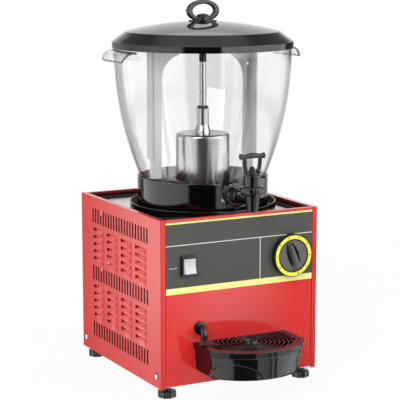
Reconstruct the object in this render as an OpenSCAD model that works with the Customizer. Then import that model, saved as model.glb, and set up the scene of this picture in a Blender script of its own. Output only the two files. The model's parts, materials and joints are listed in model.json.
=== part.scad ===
// Refrigerated drink dispenser with a clear bowl, a stirrer and a tap.
// The front faces -Y. The origin lies on the floor, under the middle of the object's outline.

/* [Cabinet] */
// Width of the sheet-metal cabinet
cabinet_w = 260; // [250:1:290]
// Depth of the cabinet
cabinet_d = 280; // [270:1:320]
// Height of the cabinet above its lower edge
cabinet_h = 247; // [242:1:275]
// Thickness of the sheet metal
sheet_t = 1.2; // [0.8:0.1:1.6]
// Width of the side panels' front and back return strips
strip_w = 7.5; // [6:0.5:10]
// Width of the inward flanges along the top edges
flange_w = 14; // [10:0.5:18]
// Depth of the top plate below the top edges
top_recess = 11.5; // [9:0.5:14]

/* [Clearances] */
// Gap under a part that lifts off its seat
seat_gap = 0.2; // [0.1:0.05:0.3]
// Gap between parts that move past each other
run_gap = 0.3; // [0.2:0.05:0.5]
// Radial clearance of a running shaft
shaft_fit = 0.05; // [0.03:0.01:0.08]

/* [Screws] */
// Distance of the side screws from the cabinet's front and back
screw_inset = 14; // [12:0.5:22]
// Height of the lower screws above the cabinet's lower edge
screw_z = 16.5; // [12:0.5:20]

/* [Feet] */
// Height of the feet below the cabinet's lower edge
foot_h = 16; // [14:0.5:22]
// Outer radius of a foot over its lobes
foot_r = 12; // [9:0.5:14]
// Number of lobes round a foot
foot_lobes = 8; // [6:1:10]

/* [Vents] */
// Slots in a row
slot_count = 21; // [9:2:23]
// Distance between slots
slot_pitch = 9.6; // [8:0.1:10]
// Width of a slot
slot_w = 4.5; // [3:0.1:6]
// Height of a slot
slot_h = 22.5; // [14:0.5:24]
// Louvres along a row
louvre_cols = 4; // [2:1:4]
// Louvre rows in a group
louvre_rows = 5; // [2:1:5]
// Length of a louvre
louvre_l = 39; // [25:1:44]
// Height of a louvre's window
louvre_h = 6; // [4:0.5:8]

/* [Controls] */
// Height of the control label
label_h = 104.5; // [90:0.5:115]
// Width of the control label
label_w = 243; // [220:1:244]
// Distance of the switch to the left of the middle
switch_off = 86.5; // [70:0.5:95]
// Width of the switch bezel
bezel_w = 25; // [23:0.5:28]
// Height of the switch bezel
bezel_h = 31; // [29:0.5:34]
// Width of the rocker
rocker_w = 17.5; // [15:0.5:19]
// Height of the rocker
rocker_h = 21.5; // [18:0.5:23]
// Full rocking angle of the rocker in degrees
rocker_throw = 14; // [8:1:18]
// Distance of the knob to the right of the middle
knob_off = 84; // [70:0.5:86]
// Outer radius of the knob's skirt
knob_r = 32; // [26:0.5:34]
// Height of the knob's skirt
knob_h = 9.6; // [7:0.1:12]
// Length of the knob's grip
grip_l = 47; // [36:0.5:48]
// Width of the knob's grip
grip_w = 15; // [12:0.5:18]
// Height of the grip above the knob's face
grip_h = 8; // [5:0.5:12]
// Tilt of the grip from upright in degrees
grip_tilt = 30; // [0:1:90]

/* [Drain] */
// Distance of the drain to the left of the middle
drain_off = 67; // [60:0.5:70]
// Height of the elbow's centre above the cabinet's lower edge
drain_z = 85; // [82:0.5:95]
// Outer radius of the elbow's tube
elbow_r = 5; // [4:0.5:6]

/* [Drip tray] */
// Half the width of the tray
tray_half_w = 78; // [74:0.5:90]
// Radius of the tray's curved front
tray_arc_r = 91; // [88:0.5:100]
// Height of the tray's rim above the cabinet's lower edge
tray_z = 64.5; // [60:0.5:66]
// Height of the tray
tray_h = 42; // [36:0.5:46]
// Height of the rim band
tray_rim_h = 9; // [6:0.5:12]
// Wall and floor of the tray
tray_wall = 2.5; // [2:0.1:3]
// Thickness of the grille
grille_t = 3.6; // [3:0.1:5]
// Width of the grille's bars
bar_w = 2; // [1.5:0.1:3]
// Distance between the grille's bars
bar_pitch = 6.5; // [5:0.1:8]
// Radius of the grille's hub
grille_hub_r = 10; // [7:0.5:14]

/* [Dish and collar] */
// Distance of the bowl's axis in front of the cabinet's middle
bowl_off = 21.5; // [15:0.5:25]
// Outer radius of the base dish
dish_r = 110.4; // [106:0.5:112]
// Height of the base dish
dish_h = 14.7; // [12:0.1:20]
// Radius of the collar at its top
collar_top_r = 99.2; // [99:0.2:104]
// Radius of the collar at its foot
collar_foot_r = 98.2; // [95:0.2:101]
// Height of the collar
collar_h = 50.4; // [46:0.2:58]
// Width of the collar's slot for the tap
collar_slot_w = 43; // [40:0.5:50]

/* [Bowl] */
// Radius of the bowl at its rim
bowl_rim_r = 133.2; // [125:0.2:140]
// Radius of the bowl just above the collar
bowl_waist_r = 96.4; // [93:0.2:97]
// Radius of the curve of the bowl's side
bowl_curve_r = 500; // [400:10:900]
// Height of the bowl above its waist
bowl_h = 194; // [170:1:220]
// Wall of the bowl
bowl_wall = 3.5; // [2.5:0.1:4]
// How far the bowl's ears stand out
ear_reach = 20; // [14:0.5:24]

/* [Lid] */
// Height of the lid's rim band
lid_rim_h = 8.6; // [7:0.2:12]
// Radius of the lid where its crown starts
lid_crown_r = 115.4; // [100:0.2:120]
// Height of the sloping shoulder
lid_shoulder_h = 13.5; // [9:0.5:18]
// Height of the crown
lid_crown_h = 15; // [10:0.5:20]
// Height of the handle
handle_h = 32; // [29:0.5:36]
// Half the outer width of the handle's ring
handle_half_w = 29; // [24:0.5:34]

/* [Evaporator and drive] */
// Radius of the evaporator cylinder
evap_r = 40.4; // [36:0.2:43]
// Height of the evaporator cylinder above the top plate
evap_h = 117; // [100:0.5:130]
// Radius of the drive shaft
shaft_r = 4.9; // [4:0.1:5.5]

/* [Stirrer] */
// Half the span of the stirrer's frame
frame_half_w = 82; // [70:0.5:82]
// Width of the frame's legs
leg_w = 13; // [9:0.5:16]
// Thickness of the frame's sheet
frame_t = 1.5; // [1:0.1:2]
// Width of the flanges bent from the legs
fin_w = 21; // [14:0.5:22]
// Height of the bar across the top
frame_bar_h = 14; // [10:0.5:18]
// Inner corner radius of the frame
frame_inner_r = 38; // [20:1:45]

/* [Tap] */
// Distance of the spout from the bowl's axis
tap_reach = 151; // [150:0.5:175]
// Radius of the spout's end
spout_r = 8.3; // [7:0.1:9]
// Length of the spout below the shank
spout_drop = 16; // [13:0.5:22]
// Radius of the bonnet nut
bonnet_nut_r = 17.2; // [15:0.1:20]
// Height of the bonnet nut
bonnet_nut_h = 12; // [8:0.5:14]
// Height of the bonnet above its nut
bonnet_h = 16.6; // [12:0.2:20]
// Lift of the valve stem
stem_lift = 5; // [3:0.5:6]
// Tilt of the lever that gives the full lift, in degrees
lever_throw = 60; // [40:1:70]
// Height of the lever's bar above its pin
lever_h = 25; // [20:0.5:32]
// Half the length of the lever's bar
bar_half_l = 20; // [17:0.5:25]

/* [Refrigeration] */
// Radius of the compressor shell
comp_r = 50; // [44:0.5:52]
// Height of the compressor shell
comp_h = 124; // [100:1:128]
// Thickness of the condenser
cond_t = 30; // [24:1:34]
// Width of the condenser
cond_w = 160; // [140:1:170]
// Height of the condenser
cond_h = 144; // [120:1:148]
// Radius of the condenser fan
fan_r = 60; // [50:0.5:64]
// Blades of the condenser fan
fan_blades_n = 5; // [3:1:7]

/* [Hidden] */
$fn = 64;
// Small overlap of cutting shapes past the faces that they cut
cut = 1;
// Sides of a swept tube
tube_sides = 8;
// Steps in a curved outline
curve_steps = 8;

// Cabinet: details
front_lift = 2.5;
front_return = 14;
pan_lift = 1.5;
pan_edge_h = 24;
panel_gap = 0.4;

// Screws: details
screw_head_r = 3.4;
screw_head_h = 2.2;
screw_r = 1.6;
screw_l = 6;

// Feet: details
foot_inset_y = 15;
foot_inset_x = 17;
foot_knob_h = 10;
foot_neck_r = 6.5;
stud_r = 4;
stud_l = 12;
foot_nut_r = 7.5;
foot_nut_h = 6;

// Controls: details
knob_ring_w = 7;
control_drop = 68.5;
label_drop = 4;
label_t = 0.4;
bezel_t = 5;
rocker_rise = 3;
switch_depth = 24;
rocker_pin_r = 1.2;
knob_dish = 1;
thermo_shaft_r = 3;
thermo_w = 38;
thermo_d = 30;
thermo_neck_r = 5;

// Drain: details
elbow_bend = 9;
elbow_flange_r = 10;
elbow_flange_t = 3.5;
elbow_bore_r = 3.4;
elbow_end = 7;
hose_wall = 2;

// Drip tray: details
tray_step = 2.5;
tray_arc_off = 6;
tray_taper = 2.5;
tray_rim_w = 7.5;
tray_ledge_w = 4;
tongue_w = 18;
tongue_t = 4;
tongue_l = 9;
tongue_off = 40;
grille_border = 5;
grille_hub_h = 2;
grille_ribs = 10;

// Dish and collar: details
dish_wall = 2;
dish_floor_t = 2.5;
collar_wall = 2.5;
ledge_w = 17;
ledge_h = 11;

// Bowl: details
ear_tip_w = 58;
ear_root_w = 78;
bowl_foot_r = 90.5;
waist_rise = 2.6;
bowl_floor_t = 4;
ear_t = 3;
ear_drop = 11;
ear_lip = 3;
ear_below = 6;
gasket_w = 5;
gasket_t = 1.5;

// Lid: details
handle_d = 7;
lid_gap = 0.6;
lid_wall = 2.5;
lid_skirt_t = 2;
lid_lap = 2.5;
lid_pad_r = 22;
handle_base_r = 21;
handle_base_t = 2;
handle_side_w = 10.4;
handle_top_t = 6;
handle_hub_r = 9.5;
handle_hub_h = 10.5;
handle_screw_r = 2;

// Evaporator and drive: details
shaft_rise = 69;
guide_h = 37.5;
guide_r = 9.2;
coil_turns = 4;
coil_tube_r = 3;
evap_wall = 1.2;
evap_edge_r = 4;
evap_flange_w = 10;
evap_flange_t = 1.5;
coil_pitch = 9;
coil_gap = 0.4;
guide_foot_r = 11.9;
guide_foot_h = 13;
guide_bore_r = 7;
bush_l = 14;
seal_t = 3;
spigot_r = 3;
spigot_flat = 0.8;
gearbox_drop = 18;
gearbox_w = 80;
gearbox_h = 44;
gearbox_wall = 3;
wheel_r = 22;
wheel_t = 10;
wheel_teeth = 30;
worm_r = 6.5;
motor_r = 22;
motor_l = 58;

// Stirrer: details
frame_outer_r = 14;
fin_low_w = 10;
fin_low_h = 28;
leg_end = -3;
frame_rise = 30;
hub_r = 5.5;
hub_h = 33;

// Tap: details
ball_r = 4.4;
lever_bar_r = 3.3;
stem_r = 4.2;
bonnet_r = 11.8;
tap_flange_r = 16;
shank_r = 8.5;
tap_rise = 18;
shank_bore_r = 5;
boss_r = 16.5;
boss_face = 97.9;
washer_t = 2;
tap_flange_t = 4;
lock_nut_r = 13.5;
lock_nut_t = 6;
spout_top_r = 12;
spout_up = 9;
spout_bore_r = 5.5;
chamber_r = 8.2;
chamber_drop = 7;
bonnet_top_t = 3.6;
stem_rise = 12;
cam_r = 4;
arm_t = 4;
cam_gap = 3.4;
arm_w = 5.5;
arm_spread = 3.2;
pin_r = 1.5;
spring_wire_r = 0.7;
spring_turns = 6;

// Refrigeration: details
grommet_h = 11;
grommet_r = 8;
comp_gap_x = 22;
comp_gap_y = 38;
cond_fin_pitch = 5;
cond_fin_t = 0.6;
cond_gap = 7;
fan_d = 18;
fan_motor_r = 24;
fan_motor_l = 36;
drier_r = 9;
drier_l = 80;
line_r = 3;
gland_r = 9;
gland_l = 14;

// Vents: details
louvre_row_pitch = 11.2;
louvre_col_pitch = 50;
louvre_in = 5.5;
slot_row_pitch = 90;
slot_row_z = 38;

// Planes of the cabinet
front_y = -cabinet_d / 2;
back_y = cabinet_d / 2;
side_x = cabinet_w / 2;
in_x = side_x - sheet_t;
plate_z = cabinet_h - top_recess;
plate_under = plate_z - sheet_t;
pan_top = pan_lift + sheet_t;
front_half_w = side_x - strip_w - panel_gap;
lip_x = side_x - flange_w - panel_gap;

// The bowl's axis and the levels above the top plate
dish_setback = 8;
bowl_y = max(-bowl_off, front_y + dish_r + dish_setback);
dish_floor_z = plate_z + dish_floor_t;
collar_top_z = dish_floor_z + collar_h;
collar_in_r = collar_foot_r - collar_wall;
bowl_z = dish_floor_z + ledge_h + seat_gap;
bowl_floor_z = bowl_z + bowl_floor_t;
waist_z = collar_top_z + waist_rise;
rim_z = waist_z + bowl_h;
lid_seat_z = rim_z + seat_gap;
lid_z = rim_z - lid_lap;
lid_r = bowl_rim_r + lid_gap + lid_skirt_t;
lid_band_z = lid_z + lid_rim_h;
lid_crown_z = lid_band_z + lid_shoulder_h;
lid_top_z = lid_crown_z + lid_crown_h;
lid_crown_curve_r = (pow(lid_crown_r, 2) + pow(lid_crown_h, 2)) / (2 * lid_crown_h);
pad_z = lid_top_z - pow(lid_pad_r, 2) / (2 * lid_crown_curve_r);
lid_step_r = bowl_rim_r - bowl_wall - 2;

// The evaporator, the shaft and the stirrer
evap_top_z = plate_z + evap_h;
evap_flange_r = evap_r + evap_flange_w;
guide_top_z = evap_top_z + guide_h;
shoulder_z = guide_top_z + shaft_rise;
hole_r = evap_r + run_gap + gasket_w;
frame_top_z = shoulder_z + frame_rise;
spigot_l = frame_rise - frame_bar_h - 1;
leg_z = waist_z + leg_end;
coil_r = evap_r - evap_wall - coil_gap - coil_tube_r;
coil_z = plate_z + 14;
coil_start = 150;
coil_tail_steps = 7;
coil_end = coil_start - coil_tail_steps * 15;
gearbox_z = plate_under - gearbox_drop;
wheel_z = gearbox_z - gearbox_h / 2;
worm_y = bowl_y + wheel_r + worm_r + run_gap;
gearbox_y0 = bowl_y - wheel_r - gearbox_wall - 4;
gearbox_y1 = worm_y + worm_r + gearbox_wall + 4;

// The tap
tap_y = bowl_y - tap_reach;
tap_z = bowl_floor_z + tap_rise;
spout_z = tap_z - spout_drop;
seat_z = tap_z - chamber_drop;
bonnet_z = tap_z + spout_up;
nut_top_z = bonnet_z + bonnet_nut_h;
bonnet_top_z = nut_top_z + bonnet_h;
bonnet_flange_t = 3;
lever_pin_z = bonnet_top_z + run_gap + cam_r;
cam_x = stem_r + cam_gap;
cup_h = 5;
washer_y = bowl_y - boss_face;
tap_flange_y = washer_y - washer_t;
lock_nut_y = bowl_y - bowl_foot_r + bowl_wall + 1.2;

// The controls and the drip tray
control_z = cabinet_h - control_drop;
label_front = front_y - label_t;
front_lip_y = min(front_y + flange_w, bowl_y - dish_r - 1);
label_top_z = cabinet_h - label_drop;
tray_back = front_y - run_gap;
tray_arc_y = front_y - tray_arc_off;
tray_bottom = tray_z - tray_h;
tray_floor = tray_bottom + tray_wall;
tray_mouth_r = tray_arc_r - tray_rim_w;
tray_mouth_half_w = tray_half_w - tray_rim_w;
grille_z = tray_z - 0.3 - grille_t;
grille_back = tray_back - run_gap;
drain_block_w = 17;
drain_block_d = 21;
elbow_y = front_y - elbow_flange_t - elbow_bend;

// The machinery in the cabinet
comp_x = -in_x + comp_gap_x + comp_r;
comp_y = back_y - sheet_t - comp_gap_y - comp_r;
comp_z = pan_top + grommet_h;
comp_plate_t = 3;
comp_stub_r = line_r + 1.5;
comp_stub_off = comp_r * 0.55;
comp_stub_z = comp_z + comp_plate_t + comp_h + 6;
grommet_off = comp_r - 4;
comp_half_w = grommet_off + grommet_r + 2;
cond_x1 = in_x - cond_gap;
cond_x0 = cond_x1 - cond_t;
cond_y = 10;
cond_z = pan_top;
cond_mid_x = (cond_x0 + cond_x1) / 2;
cond_stub_z = cond_z + cond_h + 8;
cond_rows = 6;
fan_z = cond_z + cond_h / 2;
shroud_t = 1.5;
shroud_x = cond_x0 - shroud_t;
fan_x = shroud_x - fan_d - 2;
fan_bore_r = fan_r + 3;
drier_x = 66;
drier_y = back_y - sheet_t - drier_r - 4;
drier_z = 50;
cap_r = line_r * 0.5;
line_top_z = plate_under - gearbox_drop / 2;

// The outline's reach in front and behind, which centres the origin
front_reach = tray_arc_y - tray_arc_r;
back_reach = back_y + gland_l;
origin_y = -(front_reach + back_reach) / 2;

// Unit vector along v
function unit(v) = v / norm(v);

// Direction of the path p at its point i
function heading(p, i) =
    i == 0 ? unit(p[1] - p[0]) :
    i == len(p) - 1 ? unit(p[i] - p[i - 1]) :
    unit(unit(p[i] - p[i - 1]) + unit(p[i + 1] - p[i]));

// The path p with each corner replaced by a curve that starts at the distance r from it
function rounded(p, r, n = 5) = concat([p[0]],
    [for (i = [1 : len(p) - 2]) for (k = [0 : n])
        let (a = p[i] + r * unit(p[i - 1] - p[i]), b = p[i] + r * unit(p[i + 1] - p[i]), t = k / n)
        (1 - t) * (1 - t) * a + 2 * t * (1 - t) * p[i] + t * t * b],
    [p[len(p) - 1]]);

// Side vectors square to the path, near the vector ref
function sides_near(p, ref) = [for (i = [0 : len(p) - 1]) unit(cross(cross(heading(p, i), ref),
    heading(p, i)))];

// Side vectors that point away from the Z axis
function sides_out(p) = [for (i = [0 : len(p) - 1]) unit([p[i][0], p[i][1], 0])];

// Centre of the arc of radius r through a and b, on the left of the way from a to b
function arc_centre(a, b, r) =
    let (d = b - a, l = norm(d)) (a + b) / 2 + [-d[1], d[0]] / l * sqrt(r * r - l * l / 4);

// Points of the circle about c at heights from z0 to z1, on its right side
function arc_up(c, r, z0, z1) = [for (i = [0 : curve_steps])
    let (z = z0 + (z1 - z0) * i / curve_steps) [c[0] + sqrt(r * r - pow(z - c[1], 2)), z]];

// Points of a circular arc about c, from the angle a0 to a1
function arc(c, r, a0, a1, n = curve_steps) = [for (i = [0 : n])
    let (a = a0 + (a1 - a0) * i / n) c + r * [cos(a), sin(a)]];

// The list p turned end for end

// Sets a piece that is drawn about the cabinet's lower edge into the object's frame
module seat() {
    translate([0, origin_y, foot_h]) children();
}

// Box from corner a to corner b
module block(a, b) {
    translate(a) cube(b - a);
}

// Cylinder along Y from y0 to y1
module rod_y(x, z, r, y0, y1) {
    translate([x, y1, z]) rotate([90, 0, 0]) cylinder(r = r, h = y1 - y0);
}

// Cylinder along X from x0 to x1
module rod_x(y, z, r, x0, x1) {
    translate([x0, y, z]) rotate([0, 90, 0]) cylinder(r = r, h = x1 - x0);
}

// Solid of revolution about the bowl's axis
module turned(outline) {
    translate([0, bowl_y, 0]) rotate_extrude() polygon(outline);
}

// Tube swept along the path p, with a side vector for each point
module tube(p, r, sides, n = tube_sides) {
    m = len(p);
    pts = [for (i = [0 : m - 1]) let (h = heading(p, i), s = sides[i], t = cross(h, s))
        for (k = [0 : n - 1]) p[i] + r * (cos(360 * k / n) * s + sin(360 * k / n) * t)];
    walls = [for (i = [0 : m - 2]) for (k = [0 : n - 1]) let (a = i * n + k, b = i * n + (k + 1) % n)
        each [[a, a + n, b], [b, a + n, b + n]]];
    first_cap = [for (k = [1 : n - 2]) [0, k, k + 1]];
    last_cap = [for (k = [1 : n - 2]) [(m - 1) * n, (m - 1) * n + k + 1, (m - 1) * n + k]];
    polyhedron(points = pts, faces = concat(walls, first_cap, last_cap));
}

// Pan-head screw that points along -X from the plane x = 0
module screw() {
    rotate([0, 90, 0]) {
        cylinder(r1 = screw_head_r, r2 = screw_head_r * 0.75, h = screw_head_h);
        translate([0, 0, -screw_l]) cylinder(r = screw_r, h = screw_l + cut / 2);
    }
}

// Holes for the side screws, along X
module side_screw_holes() {
    for (y = [front_y + screw_inset, back_y - screw_inset])
        rod_x(y, screw_z, screw_r + run_gap / 2, -side_x - cut, side_x + cut);
}

// Places of the back screws
back_screw_x = side_x - screw_inset - 8;
module at_back_screws() {
    for (x = [-back_screw_x, back_screw_x]) translate([x, back_y, screw_z]) rotate([0, 0, 90]) children();
}

module base_pan() {
    color("silver") difference() {
        union() {
            block([-in_x, front_y + sheet_t, pan_lift], [in_x, back_y - sheet_t, pan_top]);
            for (s = [-1, 1]) translate([s * (in_x - sheet_t / 2), 0, pan_lift])
                block([-sheet_t / 2, front_y + sheet_t, 0], [sheet_t / 2, back_y - sheet_t, pan_edge_h]);
            block([-in_x, back_y - 2 * sheet_t, pan_lift], [in_x, back_y - sheet_t, pan_lift + pan_edge_h]);
        }
        side_screw_holes();
        at_back_screws() rotate([0, 0, -90]) rod_y(0, 0, screw_r + run_gap / 2, -4 * sheet_t, cut);
        at_feet() translate([0, 0, pan_lift - cut]) cylinder(r = stud_r + run_gap, h = sheet_t + 2 * cut);
    }
}

// Outline of a louvre's flap, inwards and up from the lower edge of its window
module louvre_flap() {
    rotate([90, 0, 0]) linear_extrude(louvre_l, center = true)
        polygon([[0, -sheet_t], [0, 0], [louvre_in, louvre_h], [louvre_in + sheet_t, louvre_h - sheet_t],
            [sheet_t, -sheet_t]]);
}

// Places of the louvres on a side panel, at the middle of each window's lower edge
module at_louvres() {
    for (g = [0, 1]) for (i = [0 : louvre_rows - 1]) for (j = [0 : louvre_cols - 1])
        translate([-side_x, (j - (louvre_cols - 1) / 2) * louvre_col_pitch,
            slot_row_z + (g + 0.5) * slot_row_pitch + (i - (louvre_rows - 1) / 2) * louvre_row_pitch
                - louvre_h / 2]) children();
}

// The left side panel, which the right one mirrors
module side_panel() {
    difference() {
        union() {
            block([-side_x, front_y, 0], [-in_x, back_y - sheet_t, cabinet_h]);
            block([-side_x, front_y, 0], [-side_x + strip_w, front_y + sheet_t, cabinet_h]);
            block([-side_x, front_y + sheet_t + panel_gap, cabinet_h - sheet_t],
                [-side_x + flange_w, back_y - sheet_t, cabinet_h]);
            block([-side_x + flange_w - sheet_t, front_y + sheet_t, plate_z],
                [-side_x + flange_w, back_y - sheet_t, cabinet_h]);
        }
        for (i = [0 : 2]) for (j = [0 : slot_count - 1])
            translate([-side_x - cut, (j - (slot_count - 1) / 2) * slot_pitch - slot_w / 2,
                slot_row_z + i * slot_row_pitch - slot_h / 2]) cube([sheet_t + 2 * cut, slot_w, slot_h]);
        at_louvres() translate([-cut, -louvre_l / 2, 0]) cube([sheet_t + 2 * cut, louvre_l, louvre_h]);
        side_screw_holes();
    }
    at_louvres() louvre_flap();
}

module left_side_panel() {
    color("crimson") side_panel();
}

module right_side_panel() {
    color("crimson") mirror([1, 0, 0]) side_panel();
}

// Opening in the front panel and the label for the switch
module switch_opening() {
    translate([-switch_off, front_y, control_z])
        cube([bezel_w - 4, 6 * sheet_t, bezel_h - 4], center = true);
}

// Opening in the front panel and the label for the thermostat's neck
module thermostat_opening() {
    rod_y(knob_off, control_z, thermo_neck_r + run_gap, front_y - 3 * sheet_t, front_y + 3 * sheet_t);
}

module front_panel() {
    color("crimson") difference() {
        union() {
            block([-front_half_w, front_y, front_lift], [front_half_w, front_y + sheet_t, cabinet_h]);
            for (s = [-1, 1])
                translate([s * (front_half_w - sheet_t / 2), front_y + front_return / 2, 0])
                    block([-sheet_t / 2, -front_return / 2, pan_lift + pan_edge_h],
                        [sheet_t / 2, front_return / 2, plate_under]);
            block([-lip_x, front_y, cabinet_h - sheet_t], [lip_x, front_lip_y, cabinet_h]);
            block([-lip_x, front_lip_y - sheet_t, plate_z], [lip_x, front_lip_y, cabinet_h]);
        }
        switch_opening();
        thermostat_opening();
        rod_y(-drain_off, drain_z, elbow_r + run_gap, front_y - cut, front_y + sheet_t + cut);
        for (s = [-1, 1]) translate([s * tongue_off, front_y, tongue_z])
            cube([tongue_w + 2 * run_gap, 6 * sheet_t, tongue_t + 2 * run_gap], center = true);
    }
}

module back_panel() {
    color("crimson") difference() {
        union() {
            block([-side_x, back_y - sheet_t, 0], [side_x, back_y, cabinet_h]);
            block([-lip_x, back_y - flange_w, cabinet_h - sheet_t],
                [lip_x, back_y, cabinet_h]);
            block([-lip_x, back_y - flange_w, plate_z],
                [lip_x, back_y - flange_w + sheet_t, cabinet_h]);
        }
        for (i = [0 : 1]) for (j = [0 : slot_count - 1])
            translate([(j - (slot_count - 1) / 2) * slot_pitch - slot_w / 2, back_y - sheet_t - cut,
                slot_row_z + (i + 1) * slot_row_pitch - slot_h / 2])
                cube([slot_w, sheet_t + 2 * cut, slot_h]);
        at_back_screws() rotate([0, 0, -90]) rod_y(0, 0, screw_r + run_gap / 2, -sheet_t - cut, cut);
        rod_y(gland_x, gland_z, gland_r * 0.7 + run_gap, back_y - sheet_t - cut, back_y + cut);
    }
}

// The top plate rests on the panels' returns and carries the dish and the evaporator
module top_plate() {
    color("gainsboro") difference() {
        block([-in_x, front_y + sheet_t, plate_under], [in_x, back_y - sheet_t, plate_z]);
        translate([0, bowl_y, plate_under - cut]) {
            cylinder(r = guide_r + run_gap, h = sheet_t + 2 * cut);
            for (a = [coil_start, coil_end]) rotate([0, 0, a]) translate([coil_r, 0, 0])
                cylinder(r = coil_tube_r + 1, h = sheet_t + 2 * cut);
        }
        translate([dish_drain_x, dish_drain_y, plate_under - cut])
            cylinder(r = spigot_tube_r + run_gap, h = sheet_t + 2 * cut);
    }
}

module panel_screws() {
    color("lightgrey") {
        for (s = [-1, 1]) for (y = [front_y + screw_inset, back_y - screw_inset])
            translate([s * side_x, y, screw_z]) rotate([0, 0, s > 0 ? 0 : 180]) screw();
        at_back_screws() screw();
    }
}

// Places of the feet
module at_feet() {
    for (x = [-1, 1]) for (y = [-1, 1]) at_foot(x, y) children();
}

module at_foot(x, y) {
    translate([x * (side_x - foot_inset_x), y * (cabinet_d / 2 - foot_inset_y), 0]) children();
}

// Lobed levelling foot with its stud
foot_groove = 2;
module foot(x, y) {
    shoulder_z = pan_lift - seat_gap;
    thread_r = stud_r - shaft_fit;
    outline = [for (a = [0 : 5 : 355])
        (foot_r - foot_groove * pow(sin(a * foot_lobes / 2), 2)) * [cos(a), sin(a)]];
    color("dimgrey") at_foot(x, y) {
        translate([0, 0, -foot_h]) linear_extrude(foot_knob_h) polygon(outline);
        rotate_extrude() polygon([[0, -foot_h + 1], [foot_neck_r, -foot_h + 1], [foot_neck_r, shoulder_z],
            [thread_r, shoulder_z], [thread_r, pan_top + stud_l], [0, pan_top + stud_l]]);
    }
}

module foot_front_left() {
    foot(-1, -1);
}

module foot_front_right() {
    foot(1, -1);
}

module foot_back_left() {
    foot(-1, 1);
}

module foot_back_right() {
    foot(1, 1);
}

module foot_nuts() {
    color("silver") at_feet() translate([0, 0, pan_top]) difference() {
        cylinder(r = foot_nut_r, h = foot_nut_h, $fn = 6);
        translate([0, 0, -cut]) cylinder(r = stud_r, h = foot_nut_h + 2 * cut);
    }
}

module control_label() {
    color("dimgray") difference() {
        block([-label_w / 2, label_front, label_top_z - label_h], [label_w / 2, front_y, label_top_z]);
        switch_opening();
        thermostat_opening();
    }
}

// Rocker switch: bezel in front of the label, body through the panel
module switch_housing() {
    color("black") translate([-switch_off, label_front, control_z]) difference() {
        union() {
            block([-bezel_w / 2, -bezel_t, -bezel_h / 2], [bezel_w / 2, 0, bezel_h / 2]);
            block([-bezel_w / 2 + 2 + run_gap, -cut, -bezel_h / 2 + 2 + run_gap],
                [bezel_w / 2 - 2 - run_gap, switch_depth, bezel_h / 2 - 2 - run_gap]);
        }
        block([-rocker_w / 2 - run_gap, -bezel_t - cut, -rocker_h / 2 - 2 * run_gap],
            [rocker_w / 2 + run_gap, switch_depth / 2, rocker_h / 2 + 2 * run_gap]);
        rod_x(-bezel_t / 2, 0, rocker_pin_r + shaft_fit, -rocker_w / 2 - 1.6, rocker_w / 2 + 1.6);
    }
}

// The rocker lies tilted to its off side and turns about its pins
module switch_rocker() {
    color("ivory") translate([-switch_off, label_front - bezel_t / 2, control_z])
        rotate([-rocker_throw / 2, 0, 0]) {
            rod_x(0, 0, rocker_pin_r, -rocker_w / 2 - 1.4, rocker_w / 2 + 1.4);
            rotate([90, 0, 90]) linear_extrude(rocker_w, center = true)
                polygon(concat([[-bezel_t / 2 - rocker_rise, -rocker_h / 2]],
                    [[3, -rocker_h / 2], [5, 0], [3, rocker_h / 2]],
                    [[-bezel_t / 2 - rocker_rise, rocker_h / 2], [-bezel_t / 2 - rocker_rise * 0.55, 0]]));
        }
}

// Thermostat knob, turned about its axis along Y
knob_back = 2.5;
knob_bore_l = 7;
module thermostat_knob() {
    face = knob_h - knob_dish;
    grip_arc_r = (pow(grip_l / 2, 2) + pow(grip_w / 2, 2)) / grip_w;
    color("goldenrod") translate([knob_off, label_front - run_gap, control_z]) rotate([90, 0, 0])
        difference() {
            union() {
                rotate_extrude() polygon(concat([[0, 0], [knob_r, 0], [knob_r, knob_h - 1.5]],
                    [[knob_r - 1.5, knob_h], [knob_r - knob_ring_w, knob_h],
                        [knob_r - knob_ring_w, face], [0, face]]));
                rotate([0, 0, grip_tilt]) translate([0, 0, face - cut]) intersection() {
                    translate([grip_w / 2 - grip_arc_r, 0, 0]) cylinder(r = grip_arc_r, h = grip_h + cut);
                    translate([grip_arc_r - grip_w / 2, 0, 0]) cylinder(r = grip_arc_r, h = grip_h + cut);
                }
            }
            translate([0, 0, -cut]) cylinder(r = thermo_shaft_r, h = knob_bore_l + cut);
            translate([0, 0, -cut]) cylinder(r = thermo_neck_r + 3.5, h = knob_back + cut);
        }
}

module thermostat_shaft() {
    color("silver") rod_y(knob_off, control_z, thermo_shaft_r, label_front - run_gap - knob_bore_l,
        front_y + sheet_t + thermo_d / 2);
}

module thermostat_body() {
    color("lightgrey") difference() {
        union() {
            block([knob_off - thermo_w / 2, front_y + sheet_t, control_z - thermo_w / 2],
                [knob_off + thermo_w / 2, front_y + sheet_t + thermo_d, control_z + thermo_w / 2]);
            rod_y(knob_off, control_z, thermo_neck_r, label_front - 1.5, front_y + sheet_t + cut);
        }
        rod_y(knob_off, control_z, thermo_shaft_r + shaft_fit, label_front - 5,
            front_y + sheet_t + thermo_d / 2 + run_gap);
    }
}

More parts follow.
